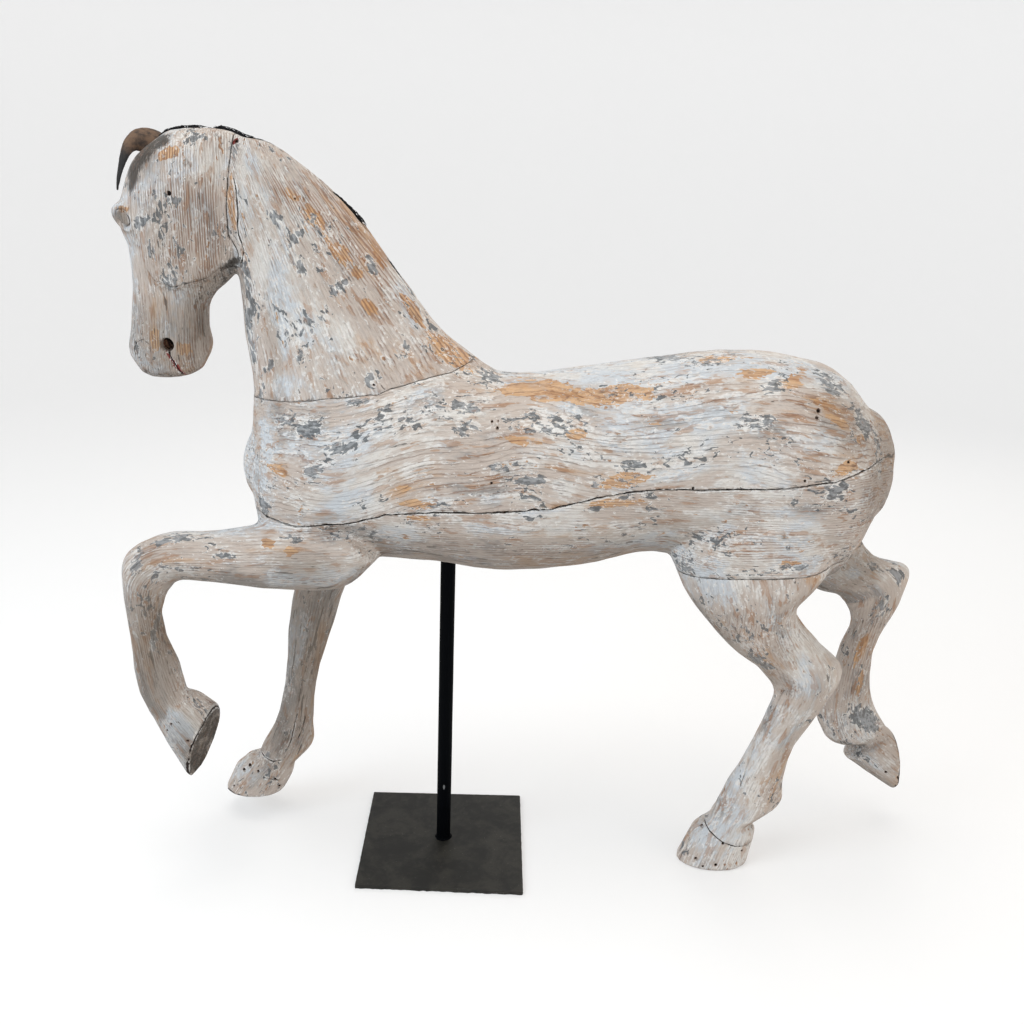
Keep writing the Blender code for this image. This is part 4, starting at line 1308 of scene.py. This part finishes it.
    @staticmethod
    def patches(points: Array, near: Sequence[tuple], far_legs: Sequence[tuple] = ()) -> Array:
        """How far each point lies inside any of the patches, from 0 to 1.

        Args:
            points: Rows of x, y and z in millimetres.
            near: The near side's patches, which the far side has too, moved along.
            far_legs: The patches of the far legs alone.

        Returns:
            A share for each point.
        """
        value = np.zeros(len(points))
        on_near, on_far = eased(0.5 - points[:, 1] / 60), eased(0.5 + points[:, 1] / 60)
        moved = [(row[0] + FAR_SIDE_SHIFT[0], row[1] + FAR_SIDE_SHIFT[1], *row[2:]) for row in near]
        for rows, side in ((near, on_near), (moved, on_far), (far_legs, on_far)):
            for x, z, length, width, angle, *strength in rows:
                turn = math.radians(angle)
                off_x, off_z = points[:, 0] - x, points[:, 2] - z
                along = (off_x * math.cos(turn) + off_z * math.sin(turn)) / length
                across = (off_z * math.cos(turn) - off_x * math.sin(turn)) / width
                full = strength[0] if strength else 1.0
                value = np.maximum(value, full * side * eased(1.35 - 0.85 * np.hypot(along, across)))
        return value

    def paint(self, skin: Skin) -> Array:
        """How bare, slate-coloured, chalky and ridged each point is.

        Args:
            skin: The horse's skin.

        Returns:
            The four values of each point.
        """
        tables = (
            (BARE, BARE_FAR_LEGS), (SLATE, SLATE_FAR_LEGS),
            (CHALK, CHALK_FAR_LEGS), (RIDGED, RIDGED_FAR_LEGS),
        )
        values = np.stack([self.patches(skin.points, *rows) for rows in tables], 1)
        lower_left = self.in_bit_hole(skin.points) & (self.across_bit_hole(skin.points) < -1)
        values[:, 0] = np.maximum(values[:, 0], np.maximum(lower_left, 0.35 * self.soles(skin)[1]))
        return values

    @staticmethod
    def in_bit_hole(points: Array) -> Array:
        """Which points lie in the hole at a corner of the mouth."""
        away = np.hypot(points[:, 0] - BIT_HOLE[0], points[:, 2] - BIT_HOLE[1])
        return (away < BIT_HOLE_RADIUS) & (np.abs(points[:, 1]) < BIT_HOLE_BAND[1])

    @staticmethod
    def across_bit_hole(points: Array) -> Array:
        """How far points lie towards the upper right of the hole's middle."""
        return (points[:, 0] - BIT_HOLE[0] + points[:, 2] - BIT_HOLE[1]) * 0.7

    def wear(self, skin: Skin) -> Array:
        """Each point's soot and painted ear shadow, pits and painted hole shade, old red, and dirt and
        painted shade.

        Args:
            skin: The horse's skin.

        Returns:
            The four values of each point.
        """
        points, normals = skin.points, skin.normals
        in_hole = self.in_bit_hole(points)
        # The bit hole is darkened as painted shade, black towards its upper right
        shaded_upper_right = eased((self.across_bit_hole(points) + 3) / 4)
        pit = np.maximum(eased(self.pits(skin) / 2.2), in_hole * shaded_upper_right)
        pit = np.maximum(pit, in_hole * 0.46)
        red = np.maximum(self.patches(points, OLD_RED), in_hole * 0.53)
        dirt_and_shade = self.patches(points, DIRT_AND_SHADE, DIRT_AND_SHADE_FAR_LEGS)
        # Faces that look down are darkened as painted shade; the soles and the eyeball are darkened too
        dirt_and_shade = np.maximum(dirt_and_shade, eased(-normals[:, 2] * 1.4 - 0.1) * 0.9)
        dirt_and_shade = np.maximum(dirt_and_shade, np.maximum(self.soles(skin)[1], 0.9 * eased(self.inside_eye(points) / 3)))
        dirt_and_shade = np.where(in_hole, 0.0, dirt_and_shade)
        # Soot on the soles, and the ear's painted shadow on the forehead
        soot_and_shadow = np.maximum(self.patches(points, SOOT_AND_EAR_SHADOW), 0.72 * self.soles(skin)[1])
        return np.stack([soot_and_shadow, pit, red, dirt_and_shade], 1)

    def seams(self, skin: Skin) -> Array:
        """The nearest seam or outline.

        Args:
            skin: The horse's skin.

        Returns:
            The distance to its left, how near it is and how wide it is, for each point.
        """
        seam = self.grooves(skin)[1]
        inside, edge = self.inside_eye(skin.points), self.soles(skin)[2]
        for depth, darkness, width in ((edge - 3, 0.8, 0.9), (inside, 0.52, 0.6)):
            here = np.abs(depth) < 7
            near = eased(2 - np.abs(depth) / 3.5)
            seam[here] = np.stack([depth, darkness * near, np.full(len(depth), width)], 1)[here]
        return seam


@dataclass
class LeatherEar:
    """The one leather ear that is left."""

    node: str = "right_ear"
    subdivisions: int = 2
    wrinkle: float = 0.35

    def build(self) -> bpy.types.Object:
        """Makes the ear and dresses it."""
        obj = copy_of_node(self.node, "leather_ear")
        applied(obj, "SUBSURF", levels=self.subdivisions, render_levels=self.subdivisions)
        skin = Skin(obj)
        wrinkles = self.wrinkle * Grit(21).layered(skin.points / (9.0, 5.0, 9.0), 3)
        skin.points += skin.normals * wrinkles[:, None]
        skin.write()
        obj.data.shade_smooth()
        dressed(obj, self.node, OldLeather().material())
        return obj


@dataclass
class RaggedMane:
    """What is left of the mane: torn strips of leather and short matted hair along the crest."""

    node: str = "mane_strip"
    carved: str = "carved_horse"
    thickness: float = 2.6
    spread: float = 3.0
    seat: float = 6.0
    beside: float = 6.5
    stations: int = 220
    tufts: int = 420
    # Share of the way along the crest, and the height there
    heights: tuple[tuple[float, float], ...] = (
        (0.0, 6.0), (0.02, 8.5), (0.05, 7.0), (0.12, 7.5), (0.145, 5.0), (0.155, 0.0), (0.165, 4.5),
        (0.20, 7.5), (0.26, 6.5), (0.30, 4.0), (0.34, 1.6), (0.42, 0.8), (0.44, -2.0), (0.58, -2.0),
        (0.61, 2.4), (0.68, 4.0), (0.72, 7.0), (0.75, 1.0), (0.77, -2.0), (0.86, -2.0), (0.89, 3.4),
        (0.94, 2.4), (0.96, -2.0), (1.0, -2.0),
    )

    def build(self) -> bpy.types.Object:
        """Makes the mane and dresses it."""
        feet, outs = self.crest()
        mesh = bmesh.new()
        for number, across in enumerate((-1.0, 0.0, 1.0)):
            add_loft(mesh, self.strip(feet, outs, across * self.spread, number))
        self.add_tufts(mesh, feet, outs)
        obj = from_bmesh("ragged_mane", mesh)
        dressed(obj, self.node, BlackHair().material())
        return obj

    def crest(self) -> tuple[Array, Array]:
        """The carved crest's line and its outward direction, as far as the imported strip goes.

        Returns:
            The line's points and the directions, as (x, z) in millimetres.
        """
        low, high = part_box(self.node)
        horse = bpy.data.objects[self.carved].data
        corners = [vertex.co for vertex in horse.vertices]
        tree = BVHTree.FromPolygons(corners, [face.vertices for face in horse.polygons])
        down, line = Vector((0, 0, -1)), []
        for x in np.linspace(low.x + MM, high.x - MM, self.stations):
            place = tree.ray_cast(Vector((x, self.beside * MM, high.z + 0.1)), down)[0]
            if place:
                line.append((place.x / MM, place.z / MM))
        line = np.array(line)
        run = np.concatenate([[0], np.cumsum(np.linalg.norm(np.diff(line, axis=0), axis=1))])
        at = np.linspace(0, run[-1], self.stations)
        feet = np.stack([np.interp(at, run, line[:, i]) for i in range(2)], 1)
        for _ in range(12):
            feet[1:-1] += 0.5 * ((feet[:-2] + feet[2:]) / 2 - feet[1:-1])
        ahead = np.gradient(feet, axis=0)
        ahead /= np.linalg.norm(ahead, axis=1)[:, None]
        return feet, np.stack([-ahead[:, 1], ahead[:, 0]], 1)

    def height_at(self, share: Array) -> Array:
        """The mane's height at a share of the way along the crest."""
        return np.interp(share, *np.array(self.heights).T)

    def strip(self, feet: Array, outs: Array, across: float, number: int) -> list[Array]:
        """One torn strip's rings.

        Args:
            feet: The crest's points.
            outs: The outward direction at each.
            across: The strip's y.
            number: Which strip it is, for its own tears.

        Returns:
            The rings, in metres.
        """
        share = np.linspace(0, 1, len(feet))
        ragged = Grit(31 + number).layered(np.stack([share * 90, share * 0, share * 0], 1), 3, 0.7)
        height = np.maximum(self.height_at(share) * (0.72 + 0.42 * ragged) - 0.3 * abs(across), -2.0)
        lean = 0.8 * Grit(41 + number).layered(np.stack([share * 30, share * 0, share * 0], 1), 2)
        rings = []
        for foot, out, top, slant in zip(feet, outs, height, lean):
            ring = []
            for level, half in ((-self.seat, 0.5), (0.3 * top, 0.5), (0.8 * top, 0.42), (top, 0.2)):
                ring.append((level, across + slant * max(level, 0) / 6 - half * self.thickness))
            for level, half in ((top, 0.2), (0.8 * top, 0.42), (0.3 * top, 0.5), (-self.seat, 0.5)):
                ring.append((level, across + slant * max(level, 0) / 6 + half * self.thickness))
            rings.append(np.array([
                (foot[0] + out[0] * level, y, foot[1] + out[1] * level) for level, y in ring
            ]) * MM)
        return rings

    def add_tufts(self, mesh: bmesh.types.BMesh, feet: Array, outs: Array) -> None:
        """Adds short locks of hair that lie back along the crest.

        Args:
            mesh: The mane's mesh.
            feet: The crest's points.
            outs: The outward direction at each.
        """
        random = np.random.default_rng(7)
        for _ in range(self.tufts):
            at = int(random.integers(2, len(feet) - 12))
            height = float(self.height_at(np.array([at / len(feet)]))[0])
            if height < 1.5 or random.random() > 0.25 + height / 9:
                continue
            along = feet[at + 2] - feet[at]
            along = along / np.linalg.norm(along) * (1 if random.random() < 0.8 else -1)
            y = random.uniform(-1, 1) * (self.spread + 0.8)
            length, width = random.uniform(6, 15), random.uniform(0.7, 1.6)
            rings = []
            for step in np.linspace(0, 1, 5):
                lift = height * (0.35 + 0.62 * math.sin(math.pi * (0.2 + 0.62 * step)))
                middle = feet[at] + along * length * step + outs[at] * lift
                half = width * (1 - 0.85 * step) / 2
                sway = y + 1.4 * step * math.sin(at)
                corners = ((-half, 0), (0, half), (half, 0), (0, -half))
                rings.append(np.array([
                    (middle[0] + outs[at][0] * up, sway + side, middle[1] + outs[at][1] * up)
                    for side, up in corners
                ]) * MM)
            add_loft(mesh, rings)


def ring_of(radius: Array | float, sides: int, z: float) -> Array:
    """Points round a circle about the rod's axis, in millimetres."""
    turn = np.arange(sides) * 2 * math.pi / sides
    return np.stack([radius * np.cos(turn), radius * np.sin(turn), np.full(sides, z)], 1)


@dataclass
class StandRod:
    """The painted rod with the weld bead round its foot."""

    node: str = "stand_rod"
    radius: float = 13.35
    bead: float = 3.6
    sides: int = 72
    step: float = 9.0
    dent: float = 0.12

    def build(self) -> bpy.types.Object:
        """Makes the rod and dresses it."""
        low, high = (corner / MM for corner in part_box(self.node))
        levels = [low.z + self.bead * (1 - math.cos(a)) for a in np.linspace(0, math.pi / 2, 7)]
        flares = [self.bead * (1 - math.sin(a)) for a in np.linspace(0, math.pi / 2, 7)]
        steps = np.linspace(levels[-1], high.z, round((high.z - low.z) / self.step))[1:]
        rings = []
        for level, flare in [*zip(levels, flares), *((z, 0.0) for z in steps)]:
            ring = ring_of(1.0, self.sides, level)
            lumps = 0.8 + 0.22 * Grit(51).layered(ring * (4, 4, 1) / (1, 1, 3), 2)
            radius = self.radius + flare * lumps + self.dent * Grit(52).layered(ring * (2, 2, 0.02), 2)
            rings.append(ring_of(radius, self.sides, level) * MM)
        obj = lofted("painted_rod", rings)
        dressed(obj, self.node, BlackPaint().material())
        return obj


@dataclass
class BasePlate:
    """The cut steel plate, its near edge left rough."""

    node: str = "base_plate"
    corner_radius: float = 2.0
    edge_points: int = 90
    rings_inwards: int = 36
    rough: float = 0.35
    near_rough: float = 0.9
    out_of_square: float = 9.0

    def outline(self) -> Array:
        """The plate's outline in the plane, in millimetres, with rounded corners."""
        low, high = (np.array(corner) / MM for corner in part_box(self.node))
        corners = np.array([
            (low[0], low[1] + self.out_of_square), (high[0], low[1]), (high[0], high[1]), (low[0], high[1]),
        ])
        points = []
        for i, corner in enumerate(corners):
            before, after = corners[i - 1], corners[(i + 1) % 4]
            to_before = (before - corner) / np.linalg.norm(before - corner)
            to_after = (after - corner) / np.linalg.norm(after - corner)
            start, end = corner + to_before * self.corner_radius, corner + to_after * self.corner_radius
            for t in np.linspace(0, 1, 6):
                points.append((1 - t) ** 2 * start + 2 * t * (1 - t) * corner + t**2 * end)
            side_end = after - to_after * self.corner_radius
            points += [end + (side_end - end) * t for t in np.linspace(0, 1, self.edge_points)[1:-1]]
        return np.array(points)

    def build(self) -> bpy.types.Object:
        """Makes the plate and dresses it."""
        low, high = (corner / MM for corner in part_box(self.node))
        outline = self.outline()
        middle = outline.mean(axis=0)
        near = eased((low.y + 14 - outline[:, 1]) / 4)
        levels = ((0.0, 0.996), (0.12, 0.9985), (0.3, 1.0), (0.6, 1.0), (0.85, 1.0), (1.0, 0.9975))
        rings = [self.flat_ring(outline, middle, share, low.z) for share in np.linspace(0.03, 0.985, 12)]
        for level, share in levels:
            z = low.z + (high.z - low.z) * level
            ring = np.column_stack([middle + (outline - middle) * share, np.full(len(outline), z)])
            wear = Grit(61).layered(ring / (7, 7, 2.4), 3)
            out = (outline - middle) / np.linalg.norm(outline - middle, axis=1)[:, None]
            push = self.rough * wear - near * (0.6 - self.near_rough * wear)
            ring[:, :2] += out * (push - self.rough)[:, None]
            rings.append(ring)
        inwards = np.linspace(0.985, 0.03, self.rings_inwards)
        rings += [self.flat_ring(outline, middle, share, high.z) for share in inwards]
        obj = lofted("steel_plate", [ring * MM for ring in rings])
        dressed(obj, self.node, MillScale().material())
        return obj

    def flat_ring(self, outline: Array, middle: Array, share: float, z: float) -> Array:
        """A ring on the plate's flat face, a little uneven."""
        ring = np.column_stack([middle + (outline - middle) * share, np.full(len(outline), z)])
        ring[:, 2] -= 0.12 * np.abs(Grit(62).layered(ring / 45.0, 3)) * (1 if z > 1 else 0)
        return ring


@dataclass
class Studio:
    """A pale floor that sweeps up into a wall, soft lights, and the camera at the photograph's place."""

    floor_radius: float = 4.6
    sweep: float = 2.2
    wall_height: float = 6.0
    sides: int = 96
    focal_length: float = 36.668
    camera_place: tuple[float, float, float] = (0.07291, -1.74780, 1.23019)
    pitch: float = 17.6627
    yaw: float = 1.2364
    roll: float = 2.0985

    def build(self) -> None:
        """Makes the floor, lights and camera."""
        self.build_floor()
        self.build_lights()
        self.build_camera()
        scene = bpy.context.scene
        scene.view_settings.view_transform = "Standard"
        scene.view_settings.look = "None"

    def build_floor(self) -> None:
        """Makes the floor and the wall round it, in one sheet."""
        profile = [(r, 0.0) for r in (0.02, 0.5, 1.5, 3.0, self.floor_radius)]
        for angle in np.linspace(0, math.pi / 2, 14)[1:]:
            radius = self.floor_radius + self.sweep * math.sin(angle)
            profile.append((radius, self.sweep * (1 - math.cos(angle))))
        profile.append((self.floor_radius + self.sweep, self.wall_height))
        rings = [ring_of(radius, self.sides, height) for radius, height in profile]
        floor = lofted("pale_floor", rings, closed=False)
        mesh = floor.data
        mesh.flip_normals()
        mesh.materials.append(PaleBackdrop().material())

    def build_lights(self) -> None:
        """Makes four large soft lights and an even sky."""
        lights = (
            ("key_light", (-2.9, -1.7, 2.4), 2.4, 47.0, (0.78, 0.90, 1.0)),
            ("top_light", (-0.2, -0.2, 3.6), 2.6, 50.0, (1.0, 0.97, 0.93)),
            ("warm_light", (3.0, -1.4, 1.7), 2.2, 14.0, (1.0, 0.84, 0.66)),
            ("back_light", (1.4, 3.0, 2.6), 2.4, 16.0, (1.0, 0.95, 0.88)),
        )
        for name, place, size, power, colour in lights:
            data = bpy.data.lights.new(name, "AREA")
            data.shape, data.size, data.energy, data.color = "DISK", size, power, colour
            light = bpy.data.objects.new(name, data)
            light.location = place
            aim = Vector((0.1, 0.0, 0.7)) - light.location
            light.rotation_mode = "QUATERNION"
            light.rotation_quaternion = aim.to_track_quat("-Z", "Y")
            bpy.context.scene.collection.objects.link(light)
        world = bpy.data.worlds.new("sky")
        world.use_nodes = True
        sky = world.node_tree.nodes["Background"]
        sky.inputs["Color"].default_value = (1.0, 1.0, 1.0, 1.0)
        sky.inputs["Strength"].default_value = 0.38
        bpy.context.scene.world = world

    def build_camera(self) -> None:
        """Makes the camera."""
        pitch, yaw, roll = (math.radians(a) for a in (self.pitch, self.yaw, self.roll))
        ahead = Vector((math.sin(yaw) * math.cos(pitch), math.cos(yaw) * math.cos(pitch), -math.sin(pitch)))
        level = Vector((math.cos(yaw), -math.sin(yaw), 0.0))
        upright = level.cross(ahead)
        right = level * math.cos(roll) + upright * math.sin(roll)
        up = -level * math.sin(roll) + upright * math.cos(roll)
        data = bpy.data.cameras.new("camera")
        data.sensor_width = 36.0
        data.lens = self.focal_length
        camera = bpy.data.objects.new("camera", data)
        turn = Matrix((right, up, -ahead)).transposed().to_4x4()
        camera.matrix_world = Matrix.Translation(self.camera_place) @ turn
        bpy.context.scene.collection.objects.link(camera)
        bpy.context.scene.camera = camera


def plain(box: tuple[Vector, Vector]) -> list[list[float]]:
    """A box's corners as plain lists of numbers."""
    return [list(corner) for corner in box]


def main() -> None:
    """Builds every piece and the studio."""
    logging.basicConfig(level=logging.INFO, format="%(name)s: %(message)s")
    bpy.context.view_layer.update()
    for maker in (CarvedHorse(), LeatherEar(), RaggedMane(), StandRod(), BasePlate()):
        piece = maker.build()
        log.info("built %s", piece.name)
    Studio().build()


if __name__ == "__main__":
    main()
